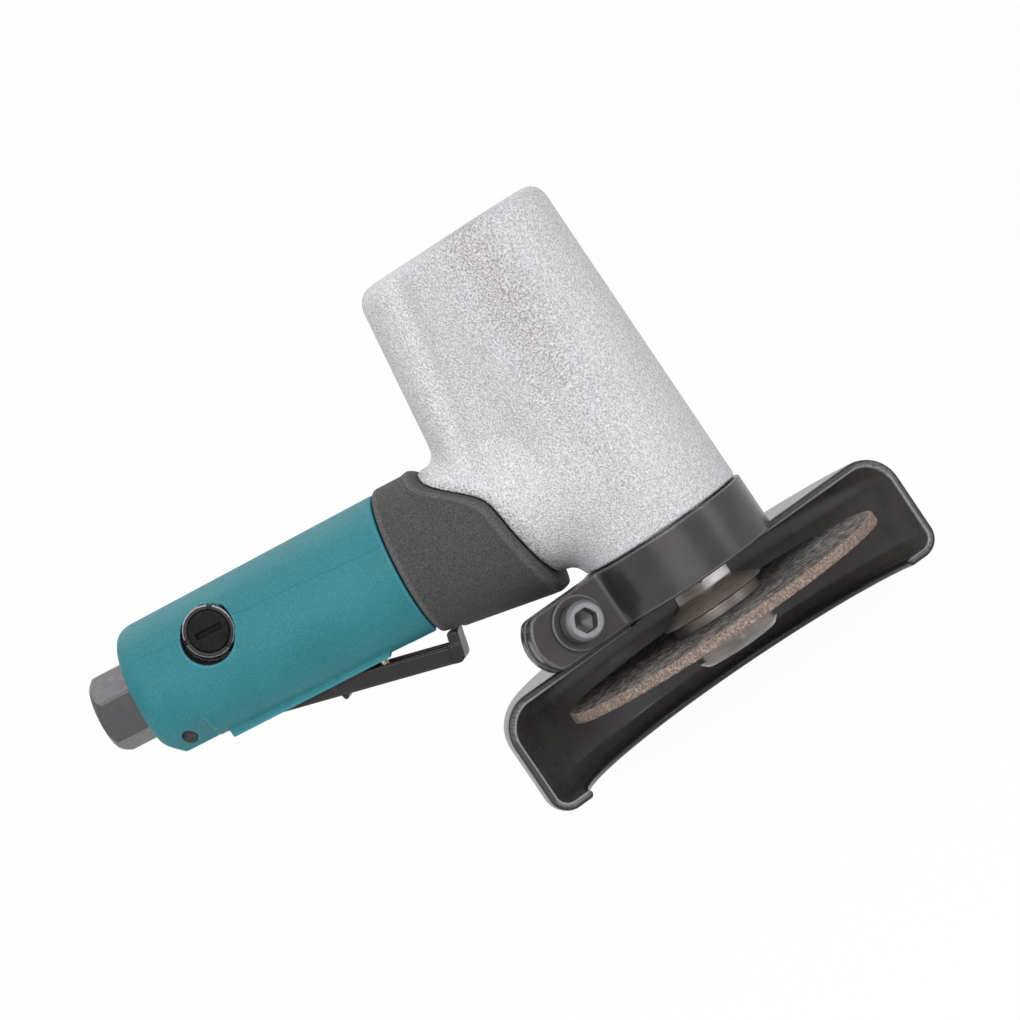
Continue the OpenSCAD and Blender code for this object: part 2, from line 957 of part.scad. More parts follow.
function coil_ring(i) =
    let (a = i * 360 / rings_per_turn, z = i * spring_pitch / rings_per_turn)
        [
            for (k = [0:wire_sides - 1])
                let (b = k * 360 / wire_sides, r = spring_r + spring_wire / 2 * cos(b))
                    [r * cos(a), r * sin(a), z + spring_wire / 2 * sin(b)]
        ];

module valve_spring() {
    rings = spring_turns * rings_per_turn;
    points = [for (i = [0:rings]) each coil_ring(i)];
    sides = [
        for (i = [0:rings - 1], k = [0:wire_sides - 1])
            let (a = i * wire_sides, n = (k + 1) % wire_sides)
                [a + k, a + wire_sides + k, a + wire_sides + n, a + n]
    ];
    first = [for (k = [0:wire_sides - 1]) k];
    last = [for (k = [wire_sides - 1:-1:0]) rings * wire_sides + k];
    echo(least_gap = spring_pitch - spring_wire);
    color(bright_steel)
        on_valve()
            translate([0, 0, head_top + spring_wire / 2])
                polyhedron(points = points, faces = concat([first], sides, [last]), convexity = 10);
}

module valve_seat() {
    color(brass_yellow)
        on_valve()
            ring(seat_bore_r, valve_bore_r - press_gap, seat_top - seat_h, seat_top);
}

module valve_guide() {
    color(brass_yellow)
        on_valve()
            ring(stem_r + run_gap, valve_bore_r - press_gap, guide_bottom, guide_top);
}

module valve_o_ring() {
    color(seal_black)
        on_valve()
            translate([0, 0, guide_top + valve_o_r])
                o_ring(stem_r + run_gap + valve_o_r, valve_o_r);
}

// Guard clamp
module ear_profile() {
    bow = asin(clamp_h / 2 / ear_end_r);
    polygon(concat(
        [[-clamp_in, guard_top], [-clamp_in, clamp_top]],
        arc(ear_end_r - ear_reach, screw_z, ear_end_r, 180 - bow, 180 + bow)
    ));
}

module guard_clamp() {
    color(black_steel)
        on_clamp()
            difference() {
                union() {
                    ring(clamp_in, clamp_out, guard_top, clamp_top);
                    side_plate(-ear_face, ear_face)
                        ear_profile();
                }
                cylinder(r = clamp_in, h = far);
                translate([-far, -clamp_slit / 2, 0])
                    cube([far, clamp_slit, far]);
                translate([-screw_reach, 0, screw_z])
                    cross_rod(screw_d / 2 + run_gap, -ear_face - over, ear_face + over);
            }
}

module clamp_washer() {
    color(black_steel)
        on_clamp()
            translate([-screw_reach, -ear_face - washer_t, screw_z])
                rotate([-90, 0, 0])
                    ring(screw_d / 2 + run_gap, washer_d / 2, 0, washer_t);
}

module clamp_screw() {
    seat = -ear_face - washer_t;
    color(dark_steel)
        on_clamp()
            translate([-screw_reach, 0, screw_z])
                difference() {
                    union() {
                        cross_rod(screw_d / 2, seat - over, ear_face + screw_tip);
                        cross_rod(screw_head_d / 2, seat - screw_head_h, seat);
                    }
                    translate([0, seat - screw_head_h - over, 0])
                        rotate([-90, 0, 0])
                            hex_prism(screw_socket, screw_socket_depth + over);
                }
}

// Wheel guard
module guard_profile() {
    r = guard_d / 2;
    top_in = guard_top_r - guard_sheet;
    low_in = guard_low_r - guard_sheet;
    polygon(concat(
        [[plate_hole_r, guard_top - guard_sheet], [plate_hole_r, guard_top]],
        arc(r - guard_top_r, guard_top - guard_top_r, guard_top_r, 90, 0),
        arc(r - guard_low_r, guard_bottom + guard_low_r, guard_low_r, 0, -90),
        [[r - guard_lip, guard_bottom], [r - guard_lip, guard_bottom + guard_sheet]],
        arc(r - guard_low_r, guard_bottom + guard_low_r, low_in, -90, 0),
        arc(r - guard_top_r, guard_top - guard_top_r, top_in, 0, 90)
    ));
}

module wheel_guard() {
    color(black_steel)
        rotate([0, 0, guard_turn])
            difference() {
                rotate_extrude()
                    guard_profile();
                translate([-far, guard_setback - 2 * far, -far])
                    cube([2 * far, 2 * far, 2 * far]);
            }
}

// Pieces that turn with the spindle
module spindle() {
    journal_r = rear_bearing[0];
    color(bright_steel) {
        translate([0, 0, nut_bottom + stud_recess])
            cylinder(r = stud_r, h = hub_top - nut_bottom - stud_recess + over);
        translate([0, 0, hub_top])
            cylinder(r = spindle_r, h = rear_plate_z + face_gap - hub_top);
        translate([0, 0, rear_plate_z])
            cylinder(r = journal_r, h = rear_plate_top - face_gap - rear_plate_z);
    }
}

module drive_hub() {
    color(dark_steel)
        difference() {
            union() {
                translate([0, 0, flange_top])
                    cylinder(r1 = cone_d / 2, r2 = hub_hex / 2, h = cone_h);
                translate([0, 0, cone_top])
                    rotate([0, 0, hub_turn])
                        hex_prism(hub_hex, hub_hex_h);
            }
            translate([0, 0, flange_top - over])
                cylinder(r = stud_r + press_gap, h = far);
        }
}

module inner_flange() {
    color(bright_steel)
        ring(stud_r + press_gap, flange_d / 2, wheel_top, flange_top);
}

module cutting_wheel() {
    color(grit_brown)
        ring(stud_r + press_gap, wheel_d / 2, -wheel_top, wheel_top);
}

module wheel_nut() {
    bevel = 1.8;
    r = nut_d / 2;
    color(dark_steel)
        difference() {
            rotate_extrude()
                polygon([
                    [stud_r + press_gap, nut_bottom],
                    [r - bevel, nut_bottom],
                    [r, nut_bottom + bevel],
                    [r, -wheel_top],
                    [stud_r + press_gap, -wheel_top]
                ]);
            rotate([0, 0, nut_turn])
                for (side = [0, 180])
                    rotate([0, 0, side])
                        translate([-far, nut_flats / 2, nut_bottom - over])
                            cube([2 * far, far, nut_t - bevel + over]);
        }
}

// Vane motor
module rotor_slots(t, r0, r1, z0, z1) {
    for (i = [0:vane_count - 1])
        rotate([0, 0, i * 360 / vane_count])
            translate([r0, -t / 2, z0])
                cube([r1 - r0, t, z1 - z0]);
}

module rotor() {
    slot_gap = 0.1;
    color(dark_steel)
        difference() {
            ring(spindle_r + press_gap, rotor_r, rotor_z, rotor_z + rotor_len);
            rotor_slots(vane_t + 2 * slot_gap, vane_root, far, 0, far);
        }
}

module vanes() {
    top_gap = 0.3;
    color(grit_brown)
        intersection() {
            rotor_slots(vane_t, vane_root + run_gap, far, rotor_z, rotor_z + rotor_len);
            cylinder(r = rotor_r - top_gap, h = far);
        }
}

module motor_cylinder() {
    color(bright_steel)
        difference() {
            translate([0, 0, front_plate_top])
                cylinder(r = motor_fit_r, h = rear_plate_z - front_plate_top);
            translate([cylinder_offset, 0, 0])
                cylinder(r = cylinder_bore / 2, h = far);
            on_handle()
                neck_passages(spindle_r, flare_s1);
            translate([0, dowel_y, 0])
                cylinder(r = dowel_r + press_gap, h = far);
        }
}

module cylinder_dowel() {
    color(bright_steel)
        translate([0, dowel_y, front_plate_top - dowel_grip])
            cylinder(r = dowel_r, h = rear_plate_z - front_plate_top + 2 * dowel_grip);
}

module front_end_plate() {
    color(cast_grey)
        difference() {
            ring(spindle_r + face_gap, motor_fit_r, nose_top, front_plate_top);
            translate([0, dowel_y, front_plate_top - dowel_grip])
                cylinder(r = dowel_r + press_gap, h = far);
        }
}

module rear_end_plate() {
    color(cast_grey)
        difference() {
            ring(rear_bearing[0] + face_gap, motor_fit_r, rear_plate_z, rear_plate_top);
            translate([0, 0, rear_bearing_z])
                cylinder(r = rear_bearing[1], h = far);
            translate([0, 0, rear_plate_z - over])
                cylinder(r = spindle_r + face_gap, h = over + 2 * face_gap);
            translate([0, dowel_y, rear_plate_z - over])
                cylinder(r = dowel_r + press_gap, h = dowel_grip + over);
        }
}

module preload_washer() {
    color(bright_steel)
        ring(rear_bearing[1] - washer_lap, motor_fit_r, rear_plate_top, bore_top);
}

module nose_cap() {
    color(dark_steel)
        difference() {
            union() {
                translate([0, 0, nose_z0])
                    cylinder(r = nose_r, h = barrel_z0 - nose_z0);
                translate([0, 0, nose_z0])
                    cylinder(r = motor_fit_r, h = nose_top - nose_z0);
            }
            cylinder(r = spindle_r + face_gap, h = far);
            translate([0, 0, nose_z0 - over])
                cylinder(r = seal_r, h = seal_h + over);
            translate([0, 0, front_bearing_z])
                cylinder(r = front_bearing[1], h = far);
        }
}

module shaft_seal() {
    color(seal_black)
        ring(spindle_r + run_gap, seal_r - press_gap, nose_z0, nose_z0 + seal_h);
}

module front_bearing_outer() {
    color(bright_steel)
        bearing_outer(front_bearing, front_bearing_z);
}

module front_bearing_balls() {
    color(bright_steel)
        bearing_balls(front_bearing, front_bearing_z);
}

module front_bearing_inner() {
    color(bright_steel)
        bearing_inner(front_bearing, front_bearing_z);
}

module rear_bearing_outer() {
    color(bright_steel)
        bearing_outer(rear_bearing, rear_bearing_z);
}

module rear_bearing_balls() {
    color(bright_steel)
        bearing_balls(rear_bearing, rear_bearing_z);
}

module rear_bearing_inner() {
    color(bright_steel)
        bearing_inner(rear_bearing, rear_bearing_z);
}

motor_housing();
grip_collar();
handle();
neck_o_ring();
inlet_bushing();
inlet_screen();
exhaust_silencers();
speed_regulator();
regulator_ring();
regulator_o_ring();
regulator_pin();
throttle_lever();
lever_pin();
lock_latch();
lock_pin();
lock_spring();
throttle_valve();
valve_spring();
valve_seat();
valve_guide();
valve_o_ring();
guard_clamp();
clamp_screw();
clamp_washer();
wheel_guard();
drive_hub();
inner_flange();
cutting_wheel();
wheel_nut();
nose_cap();
shaft_seal();
front_bearing_outer();
front_bearing_balls();
front_bearing_inner();
front_end_plate();
motor_cylinder();
cylinder_dowel();
rotor();
vanes();
spindle();
rear_end_plate();
rear_bearing_outer();
rear_bearing_balls();
rear_bearing_inner();
preload_washer();
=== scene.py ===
import json
import math

import bpy
import numpy as np
from mathutils import Matrix, Vector


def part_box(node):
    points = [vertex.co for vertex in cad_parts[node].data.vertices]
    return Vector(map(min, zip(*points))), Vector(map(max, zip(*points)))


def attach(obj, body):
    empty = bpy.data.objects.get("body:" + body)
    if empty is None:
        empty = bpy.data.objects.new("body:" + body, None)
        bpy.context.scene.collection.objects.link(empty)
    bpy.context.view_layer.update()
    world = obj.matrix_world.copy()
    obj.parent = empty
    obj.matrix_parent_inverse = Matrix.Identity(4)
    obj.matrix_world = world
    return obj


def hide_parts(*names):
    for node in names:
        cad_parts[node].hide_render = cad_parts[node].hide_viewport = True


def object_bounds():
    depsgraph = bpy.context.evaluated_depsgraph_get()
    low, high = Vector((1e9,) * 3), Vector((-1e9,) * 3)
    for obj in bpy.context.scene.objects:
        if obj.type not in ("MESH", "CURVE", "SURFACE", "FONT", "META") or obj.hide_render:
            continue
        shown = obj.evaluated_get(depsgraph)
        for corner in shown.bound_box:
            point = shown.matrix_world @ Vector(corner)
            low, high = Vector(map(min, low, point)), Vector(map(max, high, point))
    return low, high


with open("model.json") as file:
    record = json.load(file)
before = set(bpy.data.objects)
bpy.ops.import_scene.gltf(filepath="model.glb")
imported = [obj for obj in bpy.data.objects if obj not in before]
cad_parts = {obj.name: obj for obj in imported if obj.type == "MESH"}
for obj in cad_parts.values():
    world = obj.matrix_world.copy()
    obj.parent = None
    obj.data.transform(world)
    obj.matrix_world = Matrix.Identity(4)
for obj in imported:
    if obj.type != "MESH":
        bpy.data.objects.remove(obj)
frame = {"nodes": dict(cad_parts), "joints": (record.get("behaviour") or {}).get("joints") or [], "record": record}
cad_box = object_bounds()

# Lengths are in millimetres. Meshes become metres when they are made.
MM = 0.001

# The photograph's camera: distance, angles, the point at its middle and its scale
CAMERA_DISTANCE = 1600
CAMERA_AZIMUTH = 9.66
CAMERA_ELEVATION = 3.0
CAMERA_ROLL = -34.06
CAMERA_TARGET = (-33.07, 0, 57.88)
PIXELS_PER_MM = 3.577
IMAGE_PIXELS = 1020
SENSOR = 36
CAMERA_CLIP = (0.05, 50)

# Roundings that many edges share
FINEST = 0.2
FINE = 0.3
CRISP = 0.4
EASED = 0.5

# How surface points are moved onto a field's zero level
SETTLE_ROUNDS = 4
LEAST_SLOPE = 0.1

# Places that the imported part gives
joints = {joint["name"]: joint for joint in frame["joints"]}
mounts = {mount["name"]: mount for mount in frame["record"]["mounts"]}


def node_box(node):
    """Lowest and highest corner of a node, in millimetres."""
    low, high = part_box(node)
    return np.array(low) / MM, np.array(high) / MM


def frame_matrix(x, y, z, origin):
    """Matrix of a local frame from its axes and origin."""
    rows = np.eye(4)
    rows[:3, 0], rows[:3, 1], rows[:3, 2] = x, y, z
    rows[:3, 3] = origin
    return rows


# Handle frame: up across the handle, y, and s along it from the spindle axis
inlet_point = np.array(mounts["air_inlet"]["pos_m"]) / MM
along_dir = np.array(mounts["air_inlet"]["axis"])
up_dir = np.array([along_dir[2], 0, -along_dir[0]])
INLET_END = inlet_point[0] / along_dir[0]
handle_origin = inlet_point - INLET_END * along_dir
AXIS_Y = np.array([0, 1, 0])
HANDLE = frame_matrix(up_dir, AXIS_Y, along_dir, handle_origin)

# Lever frame: x to the tip, z up, origin on the pivot
LEVER_DROOP = math.radians(11.2)
pivot_point = np.array(joints["lever_press"]["pos_m"]) / MM
lever_x = -math.sin(LEVER_DROOP) * up_dir - math.cos(LEVER_DROOP) * along_dir
lever_z = math.cos(LEVER_DROOP) * up_dir - math.sin(LEVER_DROOP) * along_dir
LEVER = frame_matrix(lever_x, AXIS_Y, lever_z, pivot_point)
pivot_up, pivot_s = (pivot_point - handle_origin) @ np.array([up_dir, along_dir]).T

# Clamp frame: ears along -x, screw along y
screw_dir = np.array(joints["clamp_screw_turn"]["axis"])
CLAMP = frame_matrix([-screw_dir[1], screw_dir[0], 0], -screw_dir, [0, 0, 1], [0, 0, 0])
screw_point = np.array(joints["clamp_screw_turn"]["pos_m"]) / MM
SCREW_X = float(screw_point @ CLAMP[:3, 0])
SCREW_Z = float(screw_point[2])

# Guard frame: open towards -y
guard_dir = np.array(mounts["rest_face"]["pos_m"])
guard_dir = np.array([guard_dir[0], guard_dir[1], 0]) / np.hypot(guard_dir[0], guard_dir[1])
GUARD = frame_matrix([guard_dir[1], -guard_dir[0], 0], guard_dir, [0, 0, 1], [0, 0, 0])
WORLD = np.eye(4)


# Distance fields
def smooth_max(a, b, k):
    """Larger of two distances, with the edge between them rounded over about k."""
    h = np.maximum(k - np.abs(a - b), 0) / k
    return np.maximum(a, b) + h * h * k / 4


def smooth_min(a, b, k):
    """Smaller of two distances, with the corner between them filled over about k."""
    return -smooth_max(-a, -b, k)


def between(v, low, high):
    """Distance outside a slab."""
    return np.maximum(low - v, v - high)


def least(*fields):
    """Smallest of several distances."""
    return np.minimum.reduce(np.broadcast_arrays(*fields))


def soft_step(v, width):
    """Ramp that is 0 below and has slope 1 above, with a soft bend."""
    return width * np.logaddexp(0, v / width)


def segment(x, y, start, end):
    """Distance to a line piece in the plane."""
    dx, dy = end[0] - start[0], end[1] - start[1]
    t = np.clip(((x - start[0]) * dx + (y - start[1]) * dy) / (dx * dx + dy * dy), 0, 1)
    return np.hypot(x - start[0] - t * dx, y - start[1] - t * dy)


def hexagon(a, b, flat, turn, rounding=None):
    """Distance outside a hexagon, from half its width and a flat's direction in degrees."""
    d = np.full_like(a, -np.inf)
    for k in range(6):
        angle = math.radians(turn + 60 * k)
        side = a * math.cos(angle) + b * math.sin(angle) - flat
        d = smooth_max(d, side, rounding) if rounding else np.maximum(d, side)
    return d


def fade(inside, width):
    """0 outside an edge, rising to 1 over a width inside it."""
    return np.clip(inside / width, 0, 1)


def gradient(field, points):
    """Slope of a field at each point."""
    h = 0.02
    steps = h * np.eye(3)
    return np.stack([field(*(points + e).T) - field(*(points - e).T) for e in steps], 1) / (2 * h)


def bend(field, points):
    """Curvature of a field: above 0 on edges and below 0 in corners."""
    reach = 0.3
    steps = reach * np.eye(3)
    around = sum(field(*(points + e).T) + field(*(points - e).T) for e in steps)
    return (around - 6 * field(*points.T)) / reach ** 2


def surface_net(field, low, high, step):
    """Quads over the zero level of a field, with one vertex in each grid cell that it crosses."""
    ticks = [np.arange(a - 2 * step, b + 3 * step, step) for a, b in zip(low, high)]
    values = field(*np.meshgrid(*ticks, indexing="ij"))
    shape = tuple(n - 1 for n in values.shape)
    total = np.zeros(shape + (3,))
    count = np.zeros(shape)
    edges = []
    for axis in range(3):
        near = values.take(range(shape[axis]), axis)
        far = values.take(range(1, shape[axis] + 1), axis)
        spots = np.argwhere((near < 0) != (far < 0))
        start, end = near[tuple(spots.T)], far[tuple(spots.T)]
        points = spots + np.outer(start / (start - end), np.eye(3)[axis])
        u = np.eye(3, dtype=int)[(axis + 1) % 3]
        v = np.eye(3, dtype=int)[(axis + 2) % 3]
        cells = [spots, spots - u, spots - u - v, spots - v]
        for cell in cells:
            np.add.at(total, tuple(cell.T), points)
            np.add.at(count, tuple(cell.T), 1)
        edges.append((cells, start < 0))
    used = count > 0
    ids = np.zeros(shape, dtype=int)
    ids[used] = np.arange(used.sum())
    origin = np.array([tick[0] for tick in ticks])
    points = origin + step * total[used] / count[used][:, None]
    quads = []
    for cells, outward in edges:
        quad = np.stack([ids[tuple(cell.T)] for cell in cells], 1)
        quads.append(np.where(outward[:, None], quad, quad[:, ::-1]))
    return points, np.concatenate(quads)


def settle(field, points, step):
    """Moves points onto the zero level of a field."""
    for _ in range(SETTLE_ROUNDS):
        slope = gradient(field, points)
        size = np.maximum((slope ** 2).sum(1), LEAST_SLOPE)
        move = (field(*points.T) / size)[:, None] * slope
        points = points - np.clip(move, -step / 2, step / 2)
    return points


# Pieces. A grid is a low corner, a high corner and a step.
def mesh_piece(name, points, faces, normals=None, marks=None):
    """Object from points in the part's frame, in millimetres, with values that its finish reads."""
    mesh = bpy.data.meshes.new(name)
    mesh.from_pydata((points * MM).tolist(), [], faces, shade_flat=False)
    for mark, values in (marks or {}).items():
        attribute = mesh.attributes.new(mark, "FLOAT", "POINT")
        attribute.data.foreach_set("value", values.astype(np.float32))
    if normals is not None:
        mesh.normals_split_custom_set_from_vertices(normals.tolist())
    piece = bpy.data.objects.new(name, mesh)
    bpy.context.scene.collection.objects.link(piece)
    return piece


def solid(name, field, low, high, step, place=WORLD, bare_and_painted_light=None):
    """Rounded piece from a distance field in a local frame, with its edges marked and, where given, its places of
    bare metal and of painted light and shade.
    """
    points, quads = surface_net(field, low, high, step)
    points = settle(field, points, step)
    normals = gradient(field, points)
    normals = normals / np.maximum(np.linalg.norm(normals, axis=1), 1e-6)[:, None]
    marks = {"edge": np.clip(bend(field, points), -1, 1)}
    if bare_and_painted_light is not None:
        marks["bare_and_painted_light"] = bare_and_painted_light(*points.T)
    turn = place[:3, :3]
    points = points @ turn.T + place[:3, 3]
    return mesh_piece(name, points, quads.tolist(), normals @ turn.T, marks)


def dress(piece, body, finish, slot, *nodes):
    """Gives a piece its finish and its body and hides the nodes that it stands for. The slot is not used."""
    piece.data.materials.append(finish)
    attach(piece, body)
    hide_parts(*nodes)


# Finishes
class Finish:
    """One procedural material, built node by node."""

    def __init__(self, name, **constants):
        self.material = bpy.data.materials.new(name)
        self.material.use_nodes = True
        self.tree = self.material.node_tree
        self.shader = self.tree.nodes["Principled BSDF"]
        self.place = self.node("ShaderNodeTexCoord").outputs["Object"]
        for socket, value in constants.items():
            self.shader.inputs[socket.replace("_", " ")].default_value = value

    def node(self, kind, **settings):
        made = self.tree.nodes.new(kind)
        for key, value in settings.items():
            setattr(made, key, value)
        return made

    def link(self, source, target):
        self.tree.links.new(source, target)

    def feed(self, source, socket):
        self.link(source, self.shader.inputs[socket])

    def stretched(self, scale):
        """Object coordinates, scaled along each axis."""
        made = self.node("ShaderNodeMapping")
        self.link(self.place, made.inputs["Vector"])
        made.inputs["Scale"].default_value = scale
        return made.outputs["Vector"]

    def noise(self, size, detail=2.0, place=None):
        """Noise with features of about a size in millimetres."""
        made = self.node("ShaderNodeTexNoise")
        self.link(place or self.place, made.inputs["Vector"])
        made.inputs["Scale"].default_value = 1 / (size * MM)
        made.inputs["Detail"].default_value = detail
        return made.outputs["Fac"]

    def cells(self, size):
        """Rounded cells of about a size in millimetres."""
        made = self.node("ShaderNodeTexVoronoi", feature="SMOOTH_F1")
        self.link(self.place, made.inputs["Vector"])
        made.inputs["Scale"].default_value = 1 / (size * MM)
        return made.outputs["Distance"]

    def ramp(self, source, *stops):
        """Colour ramp through stops of (place, colour or grey)."""
        made = self.node("ShaderNodeValToRGB")
        self.link(source, made.inputs["Fac"])
        points = made.color_ramp.elements
        while len(points) < len(stops):
            points.new(0.5)
        for point, (place, colour) in zip(points, stops):
            point.position = place
            if not isinstance(colour, tuple):
                colour = (colour,) * 3
            point.color = (*colour, 1)
        return made.outputs["Color"]

    def math(self, kind, a, b):
        made = self.node("ShaderNodeMath", operation=kind)
        for socket, value in zip(made.inputs, (a, b)):
            if isinstance(value, (int, float)):
                socket.default_value = value
            else:
                self.link(value, socket)
        return made.outputs["Value"]

    def mix(self, amount, a, b):
        """Blend of two colours by an amount."""
        made = self.node("ShaderNodeMix", data_type="RGBA")
        self.link(amount, made.inputs["Factor"])
        self.link(a, made.inputs["A"])
        self.link(b, made.inputs["B"])
        return made.outputs["Result"]

    def mark(self, name):
        """Value that the mesh carries."""
        return self.node("ShaderNodeAttribute", attribute_name=name).outputs["Fac"]

    def product(self, a, b):
        """One colour darkened by another."""
        made = self.node("ShaderNodeMix", data_type="RGBA", blend_type="MULTIPLY")
        made.inputs["Factor"].default_value = 1.0
        self.link(a, made.inputs["A"])
        self.link(b, made.inputs["B"])
        return made.outputs["Result"]

    def bump(self, height, depth, strength=1.0):
        """Relief of a depth in millimetres."""
        made = self.node("ShaderNodeBump")
        self.link(height, made.inputs["Height"])
        made.inputs["Distance"].default_value = depth * MM
        made.inputs["Strength"].default_value = strength
        self.feed(made.outputs["Normal"], "Normal")


def cast_finish():
    """Silver casting with a pebbled skin in a lighter and a darker, browner tone: the darker one in large random
    patches, and as painted shade where the mesh says so.
    """
    f = Finish("cast_aluminium", Metallic=0.15, Specular_IOR_Level=0.35)
    pebbles = f.noise(0.55, 1.0)
    cloud = f.noise(14, 2.0)
    darker_skin = f.ramp(
        pebbles, (0.34, (0.36, 0.335, 0.335)), (0.5, (0.54, 0.522, 0.53)), (0.66, (0.74, 0.73, 0.74))
    )
    fine_skin = f.ramp(pebbles, (0.34, (0.54, 0.535, 0.567)), (0.66, (0.835, 0.83, 0.868)))
    # Painted shade from the mesh's mark plus large random patches: more of it gives the darker skin.
    painted_light_and_wear = f.math("ADD", f.mark("bare_and_painted_light"), f.math("MULTIPLY", f.math("SUBTRACT", cloud, 0.5), 0.7))
    f.feed(f.mix(f.ramp(painted_light_and_wear, (0.1, 0.0), (0.9, 1.0)), fine_skin, darker_skin), "Base Color")
    f.feed(f.ramp(pebbles, (0.3, 0.58), (0.7, 0.44)), "Roughness")
    f.bump(pebbles, 0.5, 1.0)
    return f.material


def teal_finish():
    """Satin teal moulding with a fine grain, lighter on its edges as a painted highlight, and black as painted
    shade where the mesh says so.
    """
    f = Finish("teal_plastic", Specular_IOR_Level=0.4)
    grain = f.noise(0.5, 2.0)
    cloud = f.noise(18, 3.0)
    base = f.ramp(cloud, (0.3, (0.021, 0.203, 0.240)), (0.7, (0.027, 0.237, 0.277)))
    speck = f.ramp(grain, (0.33, 0.80), (0.58, 1.0))
    # Lighter teal on convex edges: a painted edge highlight.
    edge_blend = f.ramp(grain, (0.3, (0.045, 0.29, 0.35)), (0.7, (0.060, 0.33, 0.39)))
    edge_amount = f.ramp(f.mark("edge"), (0.25, 0.0), (0.9, 0.8))
    skin = f.mix(edge_amount, f.product(base, speck), edge_blend)
    # Black where the mesh says so: painted shade in the regulator's pocket.
    f.feed(f.mix(f.mark("bare_and_painted_light"), skin, f.ramp(grain, (0.3, 0.010), (0.7, 0.018))), "Base Color")
    f.feed(f.ramp(grain, (0.3, 0.62), (0.7, 0.48)), "Roughness")
    f.bump(grain, 0.16, 0.6)
    return f.material


def grip_finish():
    """Matt dark rubber with a speckled grain, lighter on its edges as a painted highlight."""
    f = Finish("grip_rubber", Specular_IOR_Level=0.35)
    grain = f.noise(0.5, 2.0)
    # Lighter on convex edges: a painted edge highlight.
    base = f.ramp(f.mark("edge"), (0.05, (0.084, 0.084, 0.085)), (0.6, (0.130, 0.130, 0.134)))
    speck = f.ramp(grain, (0.3, 0.5), (0.65, 1.0))
    f.feed(f.product(base, speck), "Base Color")
    f.feed(f.ramp(grain, (0.3, 0.85), (0.7, 0.62)), "Roughness")
    f.bump(grain, 0.25, 0.8)
    return f.material


def black_finish(name, low, high, painted_light_and_wear, shine, rough=0.34):
    """Black oxide steel with its own tone on the edges, and light grey where the mesh says so: painted highlights,
    and bare metal with a painted highlight on the guard's cut edge.
    """
    f = Finish(name, Specular_IOR_Level=shine)
    smear = f.noise(12, 2.0)
    scuff = f.noise(0.9, 3.0)
    dark = f.ramp(smear, (0.30, low), (0.70, high))
    edge_amount = f.ramp(f.mark("edge"), (0.35, 0.0), (0.95, 1.0))
    edge_blend = f.mix(edge_amount, dark, f.ramp(scuff, (0.3, tuple(0.8 * c for c in painted_light_and_wear)), (0.7, painted_light_and_wear)))
    # Light grey where the mesh says so: painted highlight, with bare metal as well on the guard's cut edge.
    bare_and_painted_light = f.ramp(scuff, (0.3, (0.38, 0.375, 0.40)), (0.7, (0.50, 0.495, 0.52)))
    f.feed(f.mix(f.mark("bare_and_painted_light"), edge_blend, bare_and_painted_light), "Base Color")
    f.feed(f.ramp(smear, (0.3, rough - 0.03), (0.7, rough + 0.03)), "Roughness")
    f.bump(f.noise(0.5, 2.0), 0.02, 0.5)
    return f.material


def steel_finish(name, low, high, rough, metallic=1.0, size=2.5):
    """Turned steel with faint streaks round the spindle."""
    f = Finish(name, Metallic=metallic)
    streak = f.noise(size, 4.0, f.stretched((1, 1, 9)))
    f.feed(f.ramp(streak, (0.3, low), (0.7, high)), "Base Color")
    f.feed(f.ramp(streak, (0.3, rough + 0.08), (0.7, rough - 0.05)), "Roughness")
    f.bump(streak, 0.012, 0.4)
    return f.material


def hub_finish():
    """Steel under brown grinding dust, bare where the mesh says so, which on the hexagon's flats is painted light.
    """
    f = Finish("hub_steel", Roughness=0.3)
    streak = f.noise(6, 4.0, f.stretched((1, 1, 9)))
    dust = f.ramp(streak, (0.3, (0.19, 0.16, 0.14)), (0.7, (0.29, 0.25, 0.22)))
    steel = f.ramp(streak, (0.3, (0.44, 0.43, 0.44)), (0.7, (0.60, 0.59, 0.60)))
    # Bare steel where the mesh says so: on the hexagon's flats this is painted light.
    f.feed(f.mix(f.mark("bare_and_painted_light"), dust, steel), "Base Color")
    f.feed(f.math("MULTIPLY", f.mark("bare_and_painted_light"), 0.8), "Metallic")
    f.bump(streak, 0.012, 0.4)
    return f.material


def rubber_finish(name, low, high, rough):
    """Smooth black moulding."""
    f = Finish(name, Specular_IOR_Level=0.07)
    grain = f.noise(1.2, 3.0)
    f.feed(f.ramp(grain, (0.3, low), (0.7, high)), "Base Color")
    f.feed(f.ramp(grain, (0.3, rough + 0.08), (0.7, rough - 0.06)), "Roughness")
    f.bump(grain, 0.02, 0.4)
    return f.material


def phenolic_finish():
    """Brown laminate with a woven grain."""
    f = Finish("phenolic", Roughness=0.55)
    weave = f.noise(0.8, 2.0, f.stretched((1, 1, 0.15)))
    f.feed(f.ramp(weave, (0.3, (0.16, 0.09, 0.04)), (0.7, (0.30, 0.19, 0.09))), "Base Color")
    f.bump(weave, 0.03, 0.4)
    return f.material


def rim_finish():
    """Broken rim of the abrasive: packed grains with bright flecks."""
    f = Finish("abrasive_rim", Roughness=0.92, Specular_IOR_Level=0.25)
    grain = f.noise(0.6, 4.0)
    tone = f.ramp(
        grain, (0.28, (0.150, 0.112, 0.090)), (0.50, (0.285, 0.215, 0.175)), (0.70, (0.50, 0.43, 0.38))
    )
    f.feed(tone, "Base Color")
    f.bump(f.math("ADD", grain, f.math("MULTIPLY", f.cells(0.8), 0.4)), 0.25, 0.8)
    return f.material


